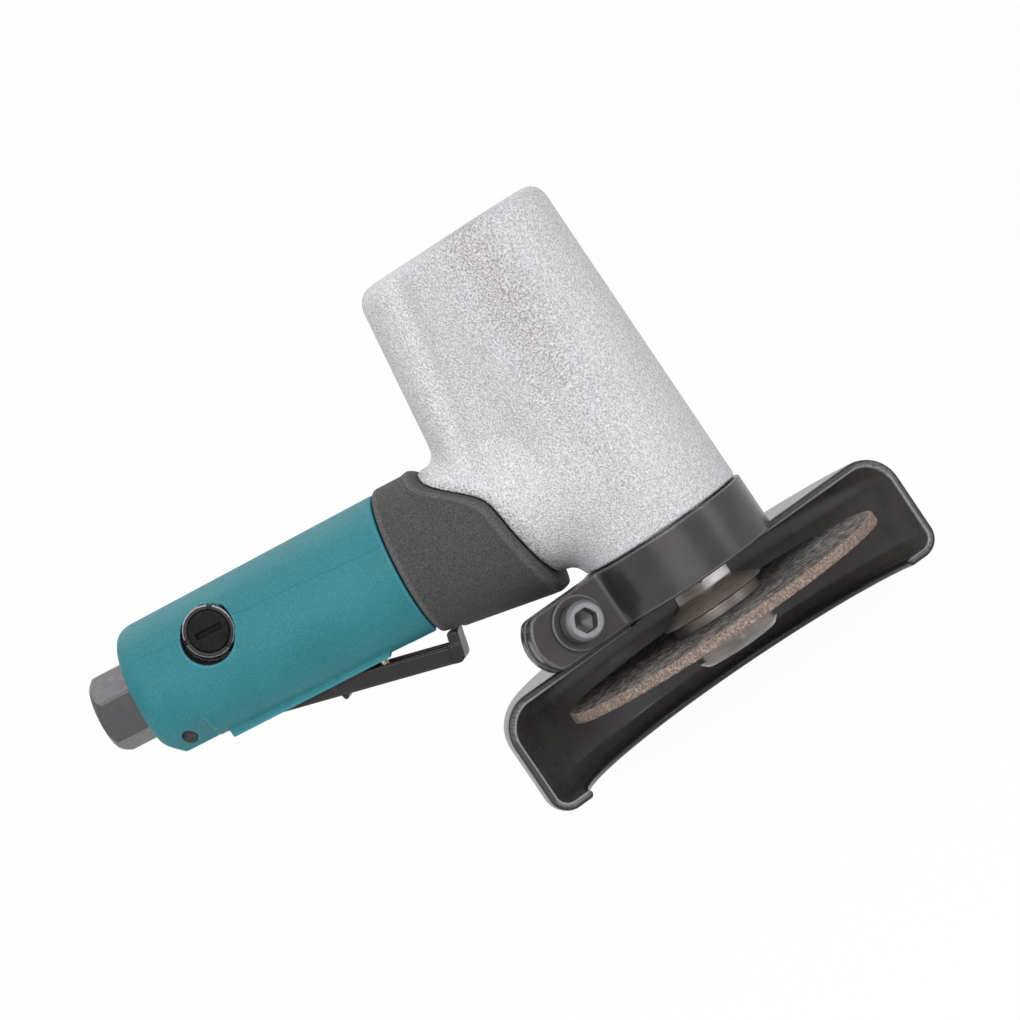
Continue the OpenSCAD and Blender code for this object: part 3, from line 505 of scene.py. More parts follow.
def disc_finish():
    """Face of the abrasive: loose grit in dark binder."""
    f = Finish("abrasive", Roughness=0.9, Specular_IOR_Level=0.3)
    clumps = f.noise(2.2, 4.0)
    grain = f.noise(0.9, 3.0)
    tone = f.ramp(
        clumps, (0.36, (0.060, 0.053, 0.050)), (0.50, (0.165, 0.147, 0.139)), (0.62, (0.36, 0.33, 0.32))
    )
    f.feed(f.product(tone, f.ramp(grain, (0.3, 0.55), (0.6, 1.0))), "Base Color")
    f.bump(f.math("ADD", grain, clumps), 0.3, 0.8)
    return f.material


finishes = {
    "cast_aluminium": cast_finish(),
    "teal_plastic": teal_finish(),
    "grip_rubber": grip_finish(),
    "dark_steel": steel_finish("dark_steel", (0.088, 0.087, 0.091), (0.118, 0.117, 0.122), 0.30),
    "bright_steel": steel_finish("bright_steel", (0.52, 0.52, 0.54), (0.70, 0.70, 0.72), 0.28),
    "brass": steel_finish("brass", (0.52, 0.41, 0.25), (0.70, 0.59, 0.40), 0.32),
    "seal_rubber": rubber_finish("seal_rubber", (0.012, 0.012, 0.013), (0.022, 0.022, 0.023), 0.55),
    "black_plastic": rubber_finish("black_plastic", (0.010, 0.010, 0.011), (0.018, 0.018, 0.019), 0.34),
    "phenolic": phenolic_finish(),
    "abrasive": disc_finish(),
}
# Base lighter than the guard's black steel: painted light for the guard's shaded inside, while its edges keep a
# near-black.
guard_finish = black_finish(
    "guard_black", (0.108, 0.099, 0.098), (0.148, 0.135, 0.131), (0.030, 0.027, 0.029), 0.4, 0.28
)
clamp_finish = black_finish(
    "clamp_black", (0.024, 0.019, 0.022), (0.046, 0.037, 0.042), (0.13, 0.123, 0.13), 0.54, 0.25
)
lever_finish = black_finish(
    "lever_black", (0.018, 0.016, 0.016), (0.026, 0.024, 0.024), (0.05, 0.047, 0.048), 0.2
)
screw_finish = black_finish(
    "screw_black", (0.055, 0.052, 0.056), (0.085, 0.081, 0.086), (0.12, 0.117, 0.123), 0.6, 0.32
)
pin_finish = steel_finish("pin_steel", (0.03, 0.03, 0.031), (0.06, 0.06, 0.062), 0.45)
flange_finish = steel_finish("flange_steel", (0.15, 0.135, 0.124), (0.25, 0.23, 0.218), 0.36, 0.8, 9)
nut_finish = steel_finish("nut_steel", (0.19, 0.172, 0.16), (0.29, 0.268, 0.25), 0.34, 0.7, 9)

# Motor housing
housing_low, housing_high = node_box("motor_housing")
BARREL_R = housing_high[0]
BARREL_TOP = housing_high[2]
BARREL_BOTTOM = housing_low[2]
BARREL_WALL = 3.8
BARREL_ROOF = 7.6
TOP_ROUND = 6
FOOT_ROUND = 0.9
BORE_R = BARREL_R - BARREL_WALL
BORE_TOP = BARREL_TOP - BARREL_ROOF
LOBE_R = 15.0
LOBE_X = -20.0
LOBE_SLOPE = math.radians(8.3)
LOBE_LENGTH = 66.0
LOBE_ROUND = 6
LOBE_FILLET = 10
TOP_LEAN = 0.02
VALLEY_X = -20.5
VALLEY_SLOPE = 0.206
VALLEY_DEPTH = 1.4
VALLEY_HALF = 3.4
VALLEY_END = 72.0
VALLEY_FADE = 2
NECK_R = 15.5
NECK_END = 77.25
FLARE_R = 22.9
FLARE_TAPER = 0.035
FLARE_TUCK = 0.4
FLARE_ROUND = 0.8
FLARE_FILLET = 5
HANDLE_START = 65.75
HOUSING_GRID = (-80, -26, 31), (26, 26, 133), 0.8

# Front edge of the grip collar
EDGE_S = 33.2
EDGE_LEAN = 0.2
RISE_UP = 7.5
RISE_SLOPE = 1.35
RISE_BEND = 1.5
LEVEL_UP = 18
LEVEL_SLOPE = 1.25
LEVEL_BEND = 1.0

# Painted shade on the casting: a darker band down the barrel and along the collar's edge
BAND_X = 2.5
BAND_HALF = 10
BAND_FOOT = 30
BAND_HEIGHT = 80
BAND_LEAST = 0.45
EDGE_BAND = 1.5
EDGE_BAND_HALF = 3


def handle_coordinates(x, z):
    """Place across and along the handle."""
    dx, dz = x - handle_origin[0], z - handle_origin[2]
    return dx * up_dir[0] + dz * up_dir[2], dx * along_dir[0] + dz * along_dir[2]


def collar_edge(up):
    """Front edge of the grip collar: a slow lean, a swept rise and a level top."""
    rise = RISE_SLOPE * soft_step(up - RISE_UP, RISE_BEND)
    return EDGE_S + EDGE_LEAN * up + rise - LEVEL_SLOPE * soft_step(up - LEVEL_UP, LEVEL_BEND)


def collar_edge_slope(up):
    """Length of the edge's slope, to turn its offset into a distance."""
    h = 0.01
    return np.hypot(1, (collar_edge(up + h) - collar_edge(up - h)) / (2 * h))


def housing_field(x, y, z):
    r = np.hypot(x, y)
    cos, sin = math.cos(LOBE_SLOPE), math.sin(LOBE_SLOPE)
    across = (x - LOBE_X) * cos - (z - BARREL_TOP) * sin
    down = -(x - LOBE_X) * sin - (z - BARREL_TOP) * cos
    lobe = smooth_max(np.hypot(across, y) - LOBE_R, down - LOBE_LENGTH, LOBE_ROUND)
    d = smooth_min(r - BARREL_R, lobe, LOBE_FILLET)
    valley = (x - VALLEY_X + VALLEY_SLOPE * (BARREL_TOP - z)) / math.hypot(1, VALLEY_SLOPE)
    ending = 1 + np.exp((VALLEY_END - z) / VALLEY_FADE)
    d = d + VALLEY_DEPTH * np.exp(-(valley / VALLEY_HALF) ** 2) / ending
    d = smooth_max(d, z - BARREL_TOP + TOP_LEAN * (x + LOBE_R - LOBE_X), TOP_ROUND)
    d = smooth_max(d, BARREL_BOTTOM - z, FOOT_ROUND)
    up, s = handle_coordinates(x, z)
    from_axis = np.hypot(up, y)
    flare = np.maximum(from_axis - FLARE_R + FLARE_TAPER * s, -s)
    under = (s - collar_edge(up) + FLARE_TUCK) / collar_edge_slope(up)
    d = smooth_min(d, smooth_max(flare, under, FLARE_ROUND), FLARE_FILLET)
    tube = np.maximum(from_axis - NECK_R, between(s, 0, NECK_END))
    d = np.minimum(d, tube)
    return smooth_max(d, -np.maximum(r - BORE_R, z - BORE_TOP), CRISP)


def housing_painted_shade(x, y, z):
    """Painted shade: a darker band down the front and the back of the barrel, stronger towards the top, and along
    the collar's edge.
    """
    up, s = handle_coordinates(x, z)
    front = np.exp(-((x - BAND_X) / BAND_HALF) ** 2)
    front = front * np.clip((z - BAND_FOOT) / BAND_HEIGHT, BAND_LEAST, 1)
    collar = np.exp(-((s - collar_edge(up) + EDGE_BAND) / EDGE_BAND_HALF) ** 2)
    return np.maximum(front, collar)


dress(
    solid("housing", housing_field, *HOUSING_GRID, bare_and_painted_light=housing_painted_shade),
    "tool_body", finishes["cast_aluminium"], "cast_aluminium", "motor_housing",
)

# Grip collar
COLLAR_R = 22.3
COLLAR_LEAN = math.atan(2 / 31.75)
COLLAR_TAPER = 0.0661
COLLAR_BACK_GAP = 0.15
COLLAR_BACK_ROUND = 1.6
COLLAR_EDGE_ROUND = 2.4
COLLAR_SLOT_S = 59.75
COLLAR_SLOT_ROUND = 0.8
BEAD_HEIGHT = 0.45
BEAD_PAST = 2.0
BEAD_HALF = 1.3
NECK_GAP = 0.05
SLOT_HALF = 6.2
TOE_GAP = 0.3
TOE_Z = node_box("guard_clamp")[1][2] + TOE_GAP
COLLAR_GRID = (-28, -26, 26), (25, 26, 67), 0.7


def collar_field(up, y, s):
    ahead = HANDLE_START - s
    t = -up * math.sin(COLLAR_LEAN) + ahead * math.cos(COLLAR_LEAN)
    w = up * math.cos(COLLAR_LEAN) + ahead * math.sin(COLLAR_LEAN)
    past = s - collar_edge(up)
    bead = BEAD_HEIGHT * np.exp(-((past - BEAD_PAST) / BEAD_HALF) ** 2)
    d = np.hypot(w, y) - COLLAR_R - COLLAR_TAPER * t - bead
    d = smooth_max(d, s - HANDLE_START + COLLAR_BACK_GAP, COLLAR_BACK_ROUND)
    d = smooth_max(d, -past / collar_edge_slope(up), COLLAR_EDGE_ROUND)
    d = smooth_max(d, NECK_R + NECK_GAP - np.hypot(up, y), CRISP)
    z = handle_origin[2] + up * up_dir[2] + s * along_dir[2]
    d = smooth_max(d, TOE_Z - z, CRISP)
    return smooth_max(d, least(SLOT_HALF - np.abs(y), s - COLLAR_SLOT_S, -up), COLLAR_SLOT_ROUND)


dress(
    solid("collar", collar_field, *COLLAR_GRID, HANDLE),
    "tool_body", finishes["grip_rubber"], "grip_rubber", "grip_collar",
)

# Handle
HANDLE_END = 150.5
HANDLE_END_ROUND = 6.0
HANDLE_R0 = 21.3
HANDLE_R1 = 20.3
TAPER_END = HANDLE_END - 4.5
HANDLE_GAP = 0.35
HANDLE_ROUND = 0.9
RAIL_HALF = 8.6
RAIL_UP = -21.0
RAIL_S = (81.0, 132.0)
RAIL_ROUND = 0.9
RAIL_FILLET = 0.7
BOSS_S = 135.0
BOSS_UP = -19.4
BOSS_ROUND = 0.7
FACET_RUN = 9.4
FACET_RISE = 13.1
FACET_UP = -10.8
FACET_Y = 17.6
BEVEL_RUN = 4.8
BEVEL_RISE = 7.1
BEVEL_ROUND = 0.8
NOTCH_UP = -18.7
NOTCH_ROUND = 0.6
ROOF_S = (HANDLE_START, 86.0, 137.5)
ROOF_UP = (-18.4, -16.5, -10.9)
SLOT_END = 145.9
REG_UP = 9.5
REG_S = 122.0
REG_FACE = -16.6
REG_BORE_R = 7.05
REG_BORE_END = 5
POCKET_R = 8.0
POCKET_DEPTH = 2.5
SCOOP_UP = 0.9
SCOOP_S = 0.5
SCOOP_DEPTH = 2.0
POCKET_WALL = 1.6
POCKET_FADE = 0.3
VALVE_S = 85.5
VALVE_BORE_R = 6.5
PIVOT_BORE_R = 2.02
SPIGOT_BORE_R = 8.05
SPIGOT_BORE_S = 133.2
EXHAUST_UP = 4.2
EXHAUST_Y = 10.6
EXHAUST_R = 2.5
EXHAUST_S = 77
HANDLE_GRID = (-22, -22, 65), (22, 22, 151), 0.62


def handle_radius(s):
    return HANDLE_R0 + (HANDLE_R1 - HANDLE_R0) * (s - HANDLE_START) / (TAPER_END - HANDLE_START)


def from_regulator(up, s):
    """Distance from the regulator's axis."""
    return np.hypot(up - REG_UP, s - REG_S)


def handle_field(up, y, s):
    r = np.hypot(up, y)
    side = np.abs(y)
    d = smooth_max(r - handle_radius(s), s - HANDLE_END, HANDLE_END_ROUND)
    rail = smooth_max(side - RAIL_HALF, RAIL_UP - up, RAIL_ROUND)
    rail = smooth_max(rail, between(s, *RAIL_S), RAIL_ROUND)
    d = smooth_min(d, np.maximum(rail, up), RAIL_FILLET)
    d = smooth_max(d, HANDLE_START + HANDLE_GAP - s, HANDLE_ROUND)
    facet = FACET_RUN * (side - FACET_Y) - FACET_RISE * (up - FACET_UP)
    facet = facet / math.hypot(FACET_RISE, FACET_RUN)
    bevel = BEVEL_RISE * (s - HANDLE_END + BEVEL_RUN) - BEVEL_RUN * (up - BOSS_UP)
    bevel = bevel / math.hypot(BEVEL_RISE, BEVEL_RUN)
    d = smooth_max(d, np.minimum(facet, s - BOSS_S), BOSS_ROUND)
    d = smooth_max(d, np.minimum(BOSS_UP - up, s - BOSS_S), BOSS_ROUND)
    d = smooth_max(d, least(NOTCH_UP - up, s - RAIL_S[1], BOSS_S - s), NOTCH_ROUND)
    d = smooth_max(d, bevel, BEVEL_ROUND)
    roof = np.interp(s, ROOF_S, ROOF_UP)
    d = smooth_max(d, least(SLOT_HALF - side, roof - up, SLOT_END - s), EASED)
    bore = from_regulator(up, s)
    scoop = from_regulator(up + SCOOP_UP, s - SCOOP_S)
    bores = least(
        np.maximum(r - NECK_R - NECK_GAP, s - NECK_END),
        np.maximum(r - SPIGOT_BORE_R, SPIGOT_BORE_S - s),
        np.maximum(np.hypot(np.abs(up) - EXHAUST_UP, y - EXHAUST_Y) - EXHAUST_R, EXHAUST_S - s),
        np.maximum(bore - REG_BORE_R, y - REG_BORE_END),
        np.maximum(bore - POCKET_R, y - REG_FACE - POCKET_DEPTH),
        np.maximum(scoop - POCKET_R, y - REG_FACE - SCOOP_DEPTH),
        np.maximum(np.hypot(y, s - VALVE_S) - VALVE_BORE_R, up),
        np.hypot(up - pivot_up, s - pivot_s) - PIVOT_BORE_R,
    )
    return smooth_max(d, -bores, CRISP)


def pocket_painted_shade(up, y, s):
    """Painted shade: the wall of the regulator's pocket, coloured black."""
    near = fade(POCKET_R + POCKET_WALL - from_regulator(up, s), POCKET_FADE)
    sunk = fade(handle_radius(s) - POCKET_FADE - np.hypot(up, y), POCKET_FADE)
    return near * sunk * (y < 0)


dress(
    solid("handle_shell", handle_field, *HANDLE_GRID, HANDLE, pocket_painted_shade),
    "tool_body", finishes["teal_plastic"], "teal_plastic", "handle",
)

# Mould lines of the handle
LINE_ROUNDS = 60
LINE_SIDES = 8
LINE_R = 0.34
LINE_SINK = 0.14
LINE_S = (65.8, 115.8, 146)
LINE_UP = (8.7, 11.0, 12.0)
LINE_START = HANDLE_START + 1.2
LINE_END = HANDLE_END - 6.5
LINE_BREAK = 8.6


def parting_line(name, side, start, end):
    """Thin raised mould line along one side of the handle."""
    s = np.linspace(start, end, LINE_ROUNDS)
    r = handle_radius(s)
    angle = np.arccos(np.interp(s, LINE_S, LINE_UP) / r)
    points = []
    for i in range(LINE_ROUNDS):
        out = np.array([math.cos(angle[i]), side * math.sin(angle[i]), 0])
        over = np.array([-math.sin(angle[i]), side * math.cos(angle[i]), 0])
        centre = out * (r[i] - LINE_SINK) + np.array([0, 0, s[i]])
        for k in range(LINE_SIDES):
            a = 2 * math.pi * k / LINE_SIDES
            points.append(centre + LINE_R * (math.cos(a) * out + math.sin(a) * over))
    faces = []
    for near in range(0, (LINE_ROUNDS - 1) * LINE_SIDES, LINE_SIDES):
        far = near + LINE_SIDES
        for k in range(LINE_SIDES):
            ahead = (k + 1) % LINE_SIDES
            faces.append([near + k, near + ahead, far + ahead, far + k][::side])
    faces.append(list(range(LINE_SIDES))[::-side])
    faces.append(list(range(len(points) - LINE_SIDES, len(points)))[::side])
    piece = mesh_piece(name, np.array(points) @ HANDLE[:3, :3].T + HANDLE[:3, 3], faces)
    piece.data.materials.append(finishes["teal_plastic"])
    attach(piece, "tool_body")


parting_line("mould_line_front", -1, LINE_START, REG_S - LINE_BREAK)
parting_line("mould_line_rear", -1, REG_S + LINE_BREAK, LINE_END)
parting_line("mould_line_back", 1, LINE_START, LINE_END)

# Air inlet
INLET_FLAT = 10.3
INLET_TURN = 23.5
INLET_END_ROUND = 0.6
INLET_FACE_R = 9.8
INLET_BORE = 5.6
INLET_MOUTH = 1.2
SPIGOT_R = 8.0
SPIGOT_S = 133.7
SPIGOT_OVERLAP = 1
HOLLOW_R = 6.3
HOLLOW_S = 149.5
THREAD_PITCH = 1.41
THREAD_DEPTH = 0.45
INLET_GRID = (-12.5, -12.5, 133), (12.5, 12.5, 164), 0.42


def inlet_field(up, y, s):
    r = np.hypot(up, y)
    d = hexagon(up, y, INLET_FLAT, INLET_TURN, EASED)
    d = smooth_max(d, between(s, HANDLE_END, INLET_END), INLET_END_ROUND)
    d = smooth_max(d, (r - INLET_FACE_R - (INLET_END - s)) / math.sqrt(2), CRISP)
    d = np.minimum(d, np.maximum(r - SPIGOT_R, between(s, SPIGOT_S, HANDLE_END + SPIGOT_OVERLAP)))
    turn = s / THREAD_PITCH - np.arctan2(y, up) / (2 * math.pi)
    thread = THREAD_DEPTH * np.abs(2 * (turn - np.floor(turn)) - 1)
    mouth = np.maximum(0, s - INLET_END + INLET_MOUTH)
    d = smooth_max(d, INLET_BORE + thread + mouth - r, FINEST)
    return smooth_max(d, -np.maximum(r - HOLLOW_R, s - HOLLOW_S), FINEST)


dress(
    solid("inlet_fitting", inlet_field, *INLET_GRID, HANDLE),
    "tool_body", finishes["dark_steel"], "dark_steel", "inlet_bushing",
)

# Speed regulator, with its grooves as place, depth and half width
CAP_R = 6.1
CAP_DEPTH = 3
CAP_ROUND = 0.6
RING_R = 7.5
RING_DEPTH = 2
RING_GAP = 0.05
REG_R = 7.0
REG_END = 4.5
REG_GROOVES = ((-10.5, 1.0, 1.2), (-7.0, 1.2, 0.8))
REG_SLOT_HALF = 0.8
REG_SLOT_REACH = 4
REG_SLOT_DEPTH = 2
NICKS = 3
NICK_TURN = 30
NICK_HALF = 0.7
NICK_DEPTH = 0.7
RIM_WIDTH = 0.36
RIM_FADE = 0.12
RIM_DEPTH = 0.45
REG_LOW = (REG_UP - 8, -17, REG_S - 8)
REG_GRID = REG_LOW, (REG_UP + 8, 5, REG_S + 8), 0.32
BEZEL_GRID = REG_LOW, (REG_UP + 8, -14, REG_S + 8), 0.25


def regulator_field(up, y, s):
    r = from_regulator(up, s)
    cap = smooth_max(r - CAP_R, REG_FACE - y, CAP_ROUND)
    cap = np.maximum(cap, y - REG_FACE - CAP_DEPTH)
    barrel = smooth_max(r - REG_R, between(y, REG_FACE + RING_DEPTH, REG_END), CRISP)
    d = np.minimum(cap, barrel)
    for place, depth, half in REG_GROOVES:
        d = smooth_max(d, np.minimum(r - REG_R + depth, half - np.abs(y - place)), FINEST)
    across, along = np.abs(up - REG_UP), np.abs(s - REG_S)
    slot = least(REG_SLOT_HALF - across, REG_SLOT_REACH - along, REG_FACE + REG_SLOT_DEPTH - y)
    return smooth_max(d, slot, FINE)


def bezel_field(up, y, s):
    a, b = up - REG_UP, s - REG_S
    ring = between(from_regulator(up, s), CAP_R + RING_GAP, RING_R)
    d = smooth_max(ring, between(y, REG_FACE, REG_FACE + RING_DEPTH), EASED)
    for k in range(NICKS):
        angle = math.radians(NICK_TURN + 360 / NICKS * k)
        across = -a * math.sin(angle) - b * math.cos(angle)
        out = a * math.cos(angle) - b * math.sin(angle)
        d = smooth_max(d, least(NICK_HALF - np.abs(across), out, REG_FACE + NICK_DEPTH - y), FINEST)
    return d


def regulator_rim_highlight(up, y, s):
    """Painted highlight: a thin light line round the bezel's outer rim."""
    line = fade(from_regulator(up, s) - RING_R + RIM_WIDTH, RIM_FADE)
    return line * fade(REG_FACE + RIM_DEPTH - y, FINEST)


dress(
    solid("regulator_screw", regulator_field, *REG_GRID, HANDLE),
    "regulator_group", finishes["black_plastic"], "black_plastic", "speed_regulator",
)
dress(
    solid("regulator_bezel", bezel_field, *BEZEL_GRID, HANDLE, regulator_rim_highlight),
    "regulator_group", lever_finish, "black_steel", "regulator_ring",
)

# Throttle lever and its latch, with the latch's arms as direction in degrees and length
LEVER_PAST = 2.8
LEVER_LENGTH = (pivot_s - HANDLE_START + LEVER_PAST) / math.cos(LEVER_DROOP)
LEVER_HALF = 5.7
LEVER_SHEET = 1.6
LEVER_ROUND = 0.7
LEVER_EYE_R = 3.2
LEVER_BORE_R = 2.05
LEVER_CORNER_R = 2.0
WALL_X = (0, 9.6)
WALL_Z = (2.8, 3.6)
HOOK_T = 3.4
HOOK_H = 7.6
HOOK_ROUND = 1.2
HOOK_FILLET = 0.8
HOOK_WEB = 1
LATCH_X = 42.347
LATCH_Z = 1.3
LATCH_HALF = 3.2
LATCH_ARMS = ((130, 5.6), (-60, 4.2))
LATCH_ARM_R = 0.8
LATCH_HUB_R = 2.3
LATCH_FILLET = 0.8
LATCH_BORE_R = 1.05
LATCH_PIN_R = 1.02
WINDOW_BACK = 3.4
WINDOW_FRONT = 6.2
WINDOW_HALF = 3.6
WINDOW_TOP = 1
LEVER_GRID = (-4, -6, -2), (82, 6, 9), 0.42
LATCH_GRID = (LATCH_X - 7, -4, LATCH_Z - 6), (LATCH_X + 5, 4, LATCH_Z + 7), 0.3


def lever_field(x, y, z):
    side = np.abs(y)
    hook_x = LEVER_LENGTH - HOOK_T
    wall_top = np.interp(x, WALL_X, WALL_Z)
    blade = np.maximum(between(x, 0, LEVER_LENGTH), between(z, -LEVER_SHEET, wall_top))
    blade = smooth_max(blade, side - LEVER_HALF, LEVER_ROUND)
    channel = least(hook_x - HOOK_WEB - x, LEVER_HALF - LEVER_SHEET - side, z)
    blade = smooth_max(blade, channel, EASED)
    hook = smooth_max(between(x, hook_x, LEVER_LENGTH), between(z, -LEVER_SHEET, HOOK_H), HOOK_ROUND)
    hook = smooth_max(hook, side - LEVER_HALF, LEVER_ROUND)
    eye = smooth_max(np.hypot(x, z) - LEVER_EYE_R, side - LEVER_HALF, EASED)
    d = np.minimum(smooth_min(blade, hook, HOOK_FILLET), eye)
    past = np.maximum(x - LEVER_LENGTH + LEVER_CORNER_R, 0)
    under = np.maximum(LEVER_CORNER_R - LEVER_SHEET - z, 0)
    d = smooth_max(d, np.hypot(past, under) - LEVER_CORNER_R, FINEST)
    d = smooth_max(d, LEVER_BORE_R - np.hypot(x, z), FINE)
    d = smooth_max(d, LATCH_PIN_R - np.hypot(x - LATCH_X, z - LATCH_Z), FINEST)
    back, front = x - LATCH_X + WINDOW_BACK, LATCH_X + WINDOW_FRONT - x
    return smooth_max(d, least(back, front, WINDOW_HALF - side, WINDOW_TOP - z), FINE)


def latch_field(x, y, z):
    a, b = x - LATCH_X, z - LATCH_Z
    r = np.hypot(a, b)
    arms = np.full_like(a, np.inf)
    for degrees, length in LATCH_ARMS:
        angle = math.radians(degrees)
        tip = (length * math.cos(angle), length * math.sin(angle))
        arms = np.minimum(arms, segment(a, b, (0, 0), tip) - LATCH_ARM_R)
    d = smooth_min(arms, r - LATCH_HUB_R, LATCH_FILLET)
    d = smooth_max(d, np.abs(y) - LATCH_HALF, CRISP)
    return smooth_max(d, LATCH_BORE_R - r, FINEST)


dress(
    solid("lever_blade", lever_field, *LEVER_GRID, LEVER),
    "lever_group", lever_finish, "black_steel", "throttle_lever",
)
dress(
    solid("latch_tongue", latch_field, *LATCH_GRID, LEVER),
    "latch_body", lever_finish, "black_steel", "lock_latch",
)

# Guard clamp, its washer and screw
clamp_low, clamp_high = node_box("guard_clamp")
CLAMP_IN = 22.05
CLAMP_OUT = 25.72
CLAMP_Z = (clamp_low[2], clamp_high[2])
CLAMP_ROUND = 0.8
CLAMP_GAP_HALF = 1
EAR_X = -52.6
EAR_HALF = 5.0
EAR_END_R = 11.0
EAR_END_ROUND = 1.2
EAR_ROUND = 0.9
EAR_FILLET = 2.2
WASHER_R = 8.0
WASHER_Y = -EAR_HALF - 1.4
HEAD_R = 5.95
HEAD_Y = WASHER_Y - 6.0
HEAD_ROUND = 1.3
SCREW_R = 3.93
SCREW_ROUND = 0.6
SCREW_BORE = 4.0
SCREW_OVERLAP = 1
SCREW_PAST = 0.8
SOCKET_HALF = 3.175
SOCKET_TURN = 30
SOCKET_DEPTH = 4.4
SOCKET_CONE = 0.3
FACE_SHINE = 0.6
FACE_BEVEL = 0.9
FACE_INSET = 0.1
FACE_DEPTH = 0.6
CLAMP_GRID = (-53, -26, 13), (26, 26, 32), 0.6
WASHER_GRID = (SCREW_X - 9, -7, SCREW_Z - 9), (SCREW_X + 9, -4.5, SCREW_Z + 9), 0.3
SCREW_GRID = (SCREW_X - 9, -13, SCREW_Z - 9), (SCREW_X + 9, 7, SCREW_Z + 9), 0.26


def from_screw(x, z):
    """Distance from the screw's axis."""
    return np.hypot(x - SCREW_X, z - SCREW_Z)


def clamp_field(x, y, z):
    r = np.hypot(x, y)
    height = between(z, *CLAMP_Z)
    ring = smooth_max(between(r, CLAMP_IN, CLAMP_OUT), height, CLAMP_ROUND)
    end_x = EAR_X + EAR_END_R
    outline = np.where(x < end_x, np.hypot(x - end_x, z - SCREW_Z) - EAR_END_R, x + CLAMP_IN)
    outline = smooth_max(outline, height, EAR_END_ROUND)
    ear = smooth_max(outline, np.abs(y) - EAR_HALF, EAR_ROUND)
    d = smooth_min(ring, ear, EAR_FILLET)
    d = smooth_max(d, height, EASED)
    d = smooth_max(d, CLAMP_IN - r, FINE)
    d = smooth_max(d, np.minimum(CLAMP_GAP_HALF - np.abs(y), -x), EASED)
    return smooth_max(d, SCREW_BORE - from_screw(x, z), FINEST)


def washer_field(x, y, z):
    ring = between(from_screw(x, z), SCREW_BORE, WASHER_R)
    return smooth_max(ring, between(y, WASHER_Y, -EAR_HALF), EASED)


def screw_field(x, y, z):
    r = from_screw(x, z)
    head = smooth_max(r - HEAD_R, between(y, HEAD_Y, WASHER_Y), HEAD_ROUND)
    reach = between(y, WASHER_Y - SCREW_OVERLAP, EAR_HALF + SCREW_PAST)
    d = np.minimum(head, smooth_max(r - SCREW_R, reach, SCREW_ROUND))
    socket = hexagon(x - SCREW_X, z - SCREW_Z, SOCKET_HALF, SOCKET_TURN)
    floor = y - HEAD_Y - SOCKET_DEPTH - SOCKET_CONE * (SOCKET_HALF - r)
    return smooth_max(d, -np.maximum(socket, floor), FINE)


def screw_face_highlight(x, y, z):
    """Painted highlight: a lighter ring on the face of the screw's head."""
    r = from_screw(x, z)
    ring = fade(HEAD_R - FACE_BEVEL - r, CRISP) * fade(r - SOCKET_HALF - FACE_INSET, FINE)
    return FACE_SHINE * ring * fade(HEAD_Y + FACE_DEPTH - y, FINE)


dress(
    solid("clamp_band", clamp_field, *CLAMP_GRID, CLAMP),
    "guard_group", clamp_finish, "black_steel", "guard_clamp",
)
dress(
    solid("screw_washer", washer_field, *WASHER_GRID, CLAMP),
    "guard_group", clamp_finish, "black_steel", "clamp_washer",
)
dress(
    solid("cap_screw", screw_field, *SCREW_GRID, CLAMP, screw_face_highlight),
    "screw_body", screw_finish, "dark_steel", "clamp_screw",
)

# Wheel guard
guard_low, guard_high = node_box("wheel_guard")
GUARD_R = 69.8
GUARD_SHEET = 2.4
GUARD_TOP_R = 11.0
GUARD_LOW_R = 6.0
GUARD_LIP = 11.6
GUARD_SETBACK = 7.3
GUARD_ROUND = 0.9
PLATE_HOLE_R = 22.4
CUT_START = 0.4
CUT_START_FADE = 0.25
CUT_END = 1.15
CUT_DEPTH = 0.75
CUT_SHINE = 0.85
CUT_LEAN = 0.1
CUT_REACH = 50
GUARD_GRID = (-71, 6, -21), (71, 71, 15), 0.7


def guard_sheet(x, y, z):
    """Offset from the middle of the guard's sheet, above 0 on its outside, and distance from it."""
    half = GUARD_SHEET / 2
    r = np.hypot(x, y)
    top, low = guard_high[2] - half, guard_low[2] + half
    bend_r, bend_top = GUARD_R - GUARD_TOP_R, guard_high[2] - GUARD_TOP_R
    foot_r, foot_low = GUARD_R - GUARD_LOW_R, guard_low[2] + GUARD_LOW_R
    offsets = np.array(np.broadcast_arrays(
        z - top,
        np.hypot(r - bend_r, z - bend_top) - GUARD_TOP_R + half,
        r - GUARD_R + half,
        np.hypot(r - foot_r, z - foot_low) - GUARD_LOW_R + half,
        low - z,
    ))
    reach = np.array(np.broadcast_arrays(
        segment(r, z, (PLATE_HOLE_R + half, top), (bend_r, top)),
        np.where((r > bend_r) & (z > bend_top), np.abs(offsets[1]), np.inf),
        segment(r, z, (GUARD_R - half, bend_top), (GUARD_R - half, foot_low)),
        np.where((r > foot_r) & (z < foot_low), np.abs(offsets[3]), np.inf),
        segment(r, z, (foot_r, low), (GUARD_R - GUARD_LIP + half, low)),
    ))
    nearest = reach.argmin(0)[None]
    return np.take_along_axis(offsets, nearest, 0)[0], np.take_along_axis(reach, nearest, 0)[0]


def guard_field(x, y, z):
    sheet = guard_sheet(x, y, z)[1] - GUARD_SHEET / 2
    return smooth_max(sheet, GUARD_SETBACK - y, GUARD_ROUND)


def guard_cut(x, y, z):
    """Light line along the inner side of the sheet's cut edge, bare metal with a painted highlight, a little
    stronger towards one end.
    """
    offset = guard_sheet(x, y, z)[0]
    inside = fade(-CUT_START - offset, CUT_START_FADE) * fade(offset + CUT_END, FINEST)
    painted_light_and_wear = CUT_SHINE - CUT_LEAN * np.clip(x / CUT_REACH, -1, 1)
    return painted_light_and_wear * inside * fade(GUARD_SETBACK + CUT_DEPTH - y, FINE)


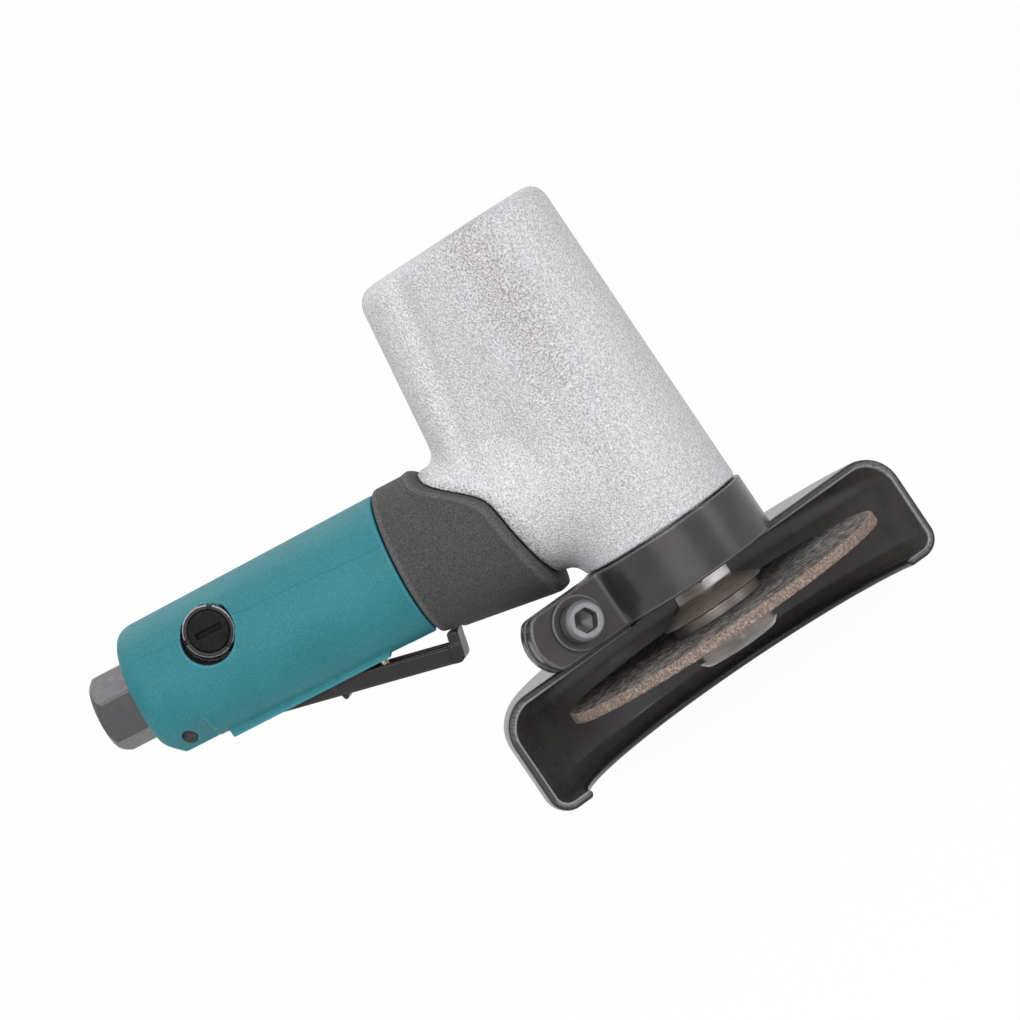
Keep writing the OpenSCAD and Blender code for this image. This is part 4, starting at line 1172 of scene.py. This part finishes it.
dress(
    solid("guard_shell", guard_field, *GUARD_GRID, GUARD, guard_cut),
    "guard_group", guard_finish, "black_steel", "wheel_guard",
)

# Drive hub, flange and nut
flange_low, flange_high = node_box("inner_flange")
hub_high = node_box("drive_hub")[1]
nut_low, nut_high = node_box("wheel_nut")
STUD_R = 4.75
CONE_R = 16.5
CONE_TOP = hub_high[2] - 4.4
HUB_FLAT = 8.75
HUB_TURN = -50
HUB_OVERLAP = 0.5
CROWN_WIDTH = 0.9
CROWN_HEIGHT = 1.2
FLANGE_R = flange_high[0]
NUT_R = 13.0
NUT_FLAT = 11.0
NUT_TURN = math.radians(-18)
NUT_BEVEL = 1.8
NUT_LAND = 1.8
HUB_GRID = (-17, -17, 5), (17, 17, 15), 0.42
FLANGE_GRID = (-15, -15, 1), (15, 15, 6), 0.4
NUT_GRID = (-14, -14, -10), (14, 14, -1), 0.42


def hub_field(x, y, z):
    r = np.hypot(x, y)
    slope = (CONE_R - HUB_FLAT) / (CONE_TOP - flange_high[2])
    cone = (r - CONE_R + slope * (z - flange_high[2])) / math.hypot(1, slope)
    cone = smooth_max(cone, between(z, flange_high[2], CONE_TOP), CRISP)
    flats = hexagon(x, y, HUB_FLAT, HUB_TURN, CRISP)
    flats = smooth_max(flats, between(z, CONE_TOP - HUB_OVERLAP, hub_high[2]), CRISP)
    crown = (r - HUB_FLAT - CROWN_WIDTH + (z - hub_high[2] + CROWN_HEIGHT)) / math.sqrt(2)
    flats = smooth_max(flats, crown, FINE)
    return smooth_max(np.minimum(cone, flats), STUD_R - r, FINEST)


def hub_flats_painted_light(x, y, z):
    """Painted light over real dust: bare steel on every other flat of the hub's hexagon, the bright one turned to
    face the lamps, and dust on the flats between.
    """
    bright_flat = 0.5 + 0.5 * np.cos(3 * (np.arctan2(y, x) - math.radians(HUB_TURN)))
    return bright_flat * fade(z - CONE_TOP, CRISP)


def flange_field(x, y, z):
    ring = between(np.hypot(x, y), STUD_R, FLANGE_R)
    return smooth_max(ring, between(z, flange_low[2], flange_high[2]), EASED)


def nut_field(x, y, z):
    r = np.hypot(x, y)
    d = smooth_max(r - NUT_R, between(z, nut_low[2], nut_high[2]), EASED)
    d = smooth_max(d, (r - NUT_R + NUT_BEVEL - (z - nut_low[2])) / math.sqrt(2), CRISP)
    across = np.abs(-x * math.sin(NUT_TURN) + y * math.cos(NUT_TURN))
    d = smooth_max(d, np.minimum(across - NUT_FLAT, nut_high[2] - NUT_LAND - z), EASED)
    return smooth_max(d, STUD_R - r, CRISP)


dress(
    solid("hub_cone", hub_field, *HUB_GRID, bare_and_painted_light=hub_flats_painted_light),
    "spindle_group", hub_finish(), "dark_steel", "drive_hub",
)
dress(
    solid("flange_disc", flange_field, *FLANGE_GRID),
    "spindle_group", flange_finish, "bright_steel", "inner_flange",
)
dress(
    solid("nut_disc", nut_field, *NUT_GRID),
    "spindle_group", nut_finish, "dark_steel", "wheel_nut",
)

# Cutting wheel
wheel_high = node_box("cutting_wheel")[1]
WHEEL_R = wheel_high[0]
WHEEL_TOP = wheel_high[2]
WHEEL_TURNS = 720
GRIT_SEED = 7
GRIT_DEPTH = 0.22
CHIP_DEPTH = 0.55
CHIP_BAND = 0.5
DISC_RINGS = 64
DISC_START = 0.4
DISC_END = 1.0
RIM_RINGS = 5
RIM_ROUND = 0.3


def wheel_piece():
    """Abrasive disc with a chipped rim and gritty faces."""
    rng = np.random.default_rng(GRIT_SEED)
    face = np.linspace(STUD_R + DISC_START, WHEEL_R - DISC_END, DISC_RINGS)
    radii = np.concatenate([[STUD_R], face, [WHEEL_R - RIM_ROUND]])
    rim = np.linspace(WHEEL_TOP - RIM_ROUND, RIM_ROUND - WHEEL_TOP, RIM_RINGS)
    flat = np.full(len(radii), WHEEL_TOP)
    profile_r = np.concatenate([radii, np.full(RIM_RINGS, WHEEL_R), radii[::-1]])
    profile_z = np.concatenate([flat, rim, -flat])
    rows = len(profile_r)
    angle = np.linspace(0, 2 * math.pi, WHEEL_TURNS, endpoint=False)
    grit = rng.random((rows, WHEEL_TURNS))
    chips = np.where(profile_r > WHEEL_R - CHIP_BAND, CHIP_DEPTH, 0)
    r = profile_r[:, None] - chips[:, None] * grit ** 2
    on_face = (np.abs(profile_z) >= WHEEL_TOP) & (profile_r > FLANGE_R)
    inward = np.where(on_face[:, None], GRIT_DEPTH * grit, 0)
    z = profile_z[:, None] - np.sign(profile_z)[:, None] * inward
    points = np.stack([r * np.cos(angle), r * np.sin(angle), z], -1).reshape(-1, 3)
    i, k = np.meshgrid(np.arange(rows), np.arange(WHEEL_TURNS), indexing="ij")
    here, below = i * WHEEL_TURNS, (i + 1) % rows * WHEEL_TURNS
    ahead = (k + 1) % WHEEL_TURNS
    faces = np.stack([here + k, below + k, below + ahead, here + ahead], -1)
    piece = mesh_piece("abrasive_disc", points, faces.reshape(-1, 4).tolist())
    dress(piece, "spindle_group", finishes["abrasive"], "abrasive", "cutting_wheel")
    piece.data.materials.append(rim_finish())
    on_rim = (i >= DISC_RINGS) & (i <= len(radii) + RIM_RINGS)
    piece.data.polygons.foreach_set("material_index", on_rim.astype(np.int32).ravel())


wheel_piece()

# Solids that show as they are
node_slots = {
    "bright_steel": (
        "inlet_screen", "regulator_pin", "lever_pin", "lock_pin", "lock_spring", "valve_spring",
        "front_bearing_outer", "front_bearing_balls", "front_bearing_inner", "rear_bearing_outer",
        "rear_bearing_balls", "rear_bearing_inner", "motor_cylinder", "cylinder_dowel", "spindle",
        "preload_washer",
    ),
    "brass": ("exhaust_silencers", "throttle_valve", "valve_seat", "valve_guide"),
    "seal_rubber": ("neck_o_ring", "regulator_o_ring", "valve_o_ring", "shaft_seal"),
    "dark_steel": ("nose_cap", "rotor"),
    "cast_aluminium": ("front_end_plate", "rear_end_plate"),
    "phenolic": ("vanes",),
}
for slot, names in node_slots.items():
    for name in names:
        frame["nodes"][name].data.materials.clear()
        frame["nodes"][name].data.materials.append(finishes[slot])
for name in ("lever_pin", "lock_pin"):
    frame["nodes"][name].data.materials[0] = pin_finish


# Stage, light and camera. Lamps are given as place, width and power, in metres and watts.
FLOOR_HALF = 6.0
FLOOR_GREY = 0.9
FLOOR_GLOW = 0.975
WORLD_LIGHT = 0.38
WORLD_WHITE = 0.988
LAMP_AIM = (-0.04, 0, 0.06)
LAMPS = {
    "key": ((1.0, -0.42, 0.14), 0.3, 1.3),
    "front": ((0.1, -1.25, 0.35), 1.0, 9.4),
    "top": ((-0.15, -0.35, 1.25), 0.9, 2.6),
    "back": ((-0.35, 0.54, 1.08), 0.7, 2.6),
}


def seen_ray(tree):
    """1 for rays from the camera, from reflections and through glass, else 0."""
    path = tree.nodes.new("ShaderNodeLightPath")
    seen = path.outputs["Is Camera Ray"]
    for ray in ("Is Glossy Ray", "Is Transmission Ray"):
        either = tree.nodes.new("ShaderNodeMath")
        either.operation = "MAXIMUM"
        tree.links.new(seen, either.inputs[0])
        tree.links.new(path.outputs[ray], either.inputs[1])
        seen = either.outputs[0]
    return seen


def plain_floor():
    """Pale floor under the guard, white to the camera with a faint shadow."""
    height = cad_box[0][2]
    mesh = bpy.data.meshes.new("floor")
    signs = ((-1, -1), (1, -1), (1, 1), (-1, 1))
    corners = [(FLOOR_HALF * x, FLOOR_HALF * y, height) for x, y in signs]
    mesh.from_pydata(corners, [], [(0, 1, 2, 3)])
    floor = bpy.data.objects.new("floor", mesh)
    bpy.context.scene.collection.objects.link(floor)
    material = bpy.data.materials.new("floor")
    material.use_nodes = True
    tree = material.node_tree
    tree.nodes.clear()
    output = tree.nodes.new("ShaderNodeOutputMaterial")
    share = tree.nodes.new("ShaderNodeMath")
    share.operation = "MULTIPLY"
    share.inputs[1].default_value = FLOOR_GLOW
    tree.links.new(seen_ray(tree), share.inputs[0])
    matt = tree.nodes.new("ShaderNodeBsdfDiffuse")
    matt.inputs["Color"].default_value = (FLOOR_GREY, FLOOR_GREY, FLOOR_GREY, 1)
    glow = tree.nodes.new("ShaderNodeEmission")
    blend = tree.nodes.new("ShaderNodeMixShader")
    tree.links.new(share.outputs[0], blend.inputs["Fac"])
    tree.links.new(matt.outputs["BSDF"], blend.inputs[1])
    tree.links.new(glow.outputs["Emission"], blend.inputs[2])
    tree.links.new(blend.outputs["Shader"], output.inputs["Surface"])
    mesh.materials.append(material)


def studio_world():
    """White to the camera and in reflections, softer as light."""
    world = bpy.data.worlds.new("studio")
    world.use_nodes = True
    tree = world.node_tree
    background = tree.nodes["Background"]
    level = tree.nodes.new("ShaderNodeMapRange")
    level.inputs["To Min"].default_value = WORLD_LIGHT
    level.inputs["To Max"].default_value = WORLD_WHITE
    tree.links.new(seen_ray(tree), level.inputs["Value"])
    tree.links.new(level.outputs["Result"], background.inputs["Strength"])
    background.inputs["Color"].default_value = (1, 1, 1, 1)
    bpy.context.scene.world = world


def soft_box(name, place, size, power):
    """Square area light that faces the tool."""
    lamp = bpy.data.lights.new(name, "AREA")
    lamp.size = size
    lamp.energy = power
    light = bpy.data.objects.new(name, lamp)
    light.location = place
    light.rotation_mode = "QUATERNION"
    light.rotation_quaternion = (Vector(LAMP_AIM) - Vector(place)).to_track_quat("-Z", "Y")
    bpy.context.scene.collection.objects.link(light)


def photo_camera():
    """Camera at the photograph's angle, rolled as the photograph is."""
    azimuth, elevation, roll = map(math.radians, (CAMERA_AZIMUTH, CAMERA_ELEVATION, CAMERA_ROLL))
    level = math.cos(elevation)
    back = Vector((math.sin(azimuth) * level, -math.cos(azimuth) * level, math.sin(elevation)))
    right = Vector((math.cos(azimuth), math.sin(azimuth), 0))
    up = back.cross(right)
    image_x = right * math.cos(roll) + up * math.sin(roll)
    image_y = up * math.cos(roll) - right * math.sin(roll)
    data = bpy.data.cameras.new("photo_camera")
    data.sensor_width = SENSOR
    data.lens = PIXELS_PER_MM * CAMERA_DISTANCE * SENSOR / IMAGE_PIXELS
    camera = bpy.data.objects.new("photo_camera", data)
    place = (Vector(CAMERA_TARGET) + back * CAMERA_DISTANCE) * MM
    turn = Matrix((image_x, image_y, back)).transposed().to_4x4()
    camera.matrix_world = Matrix.Translation(place) @ turn
    data.clip_start, data.clip_end = CAMERA_CLIP
    bpy.context.scene.collection.objects.link(camera)
    bpy.context.scene.camera = camera


plain_floor()
studio_world()
for lamp_name, (place, size, power) in LAMPS.items():
    soft_box(lamp_name, place, size, power)
photo_camera()
bpy.context.scene.view_settings.view_transform = "Standard"
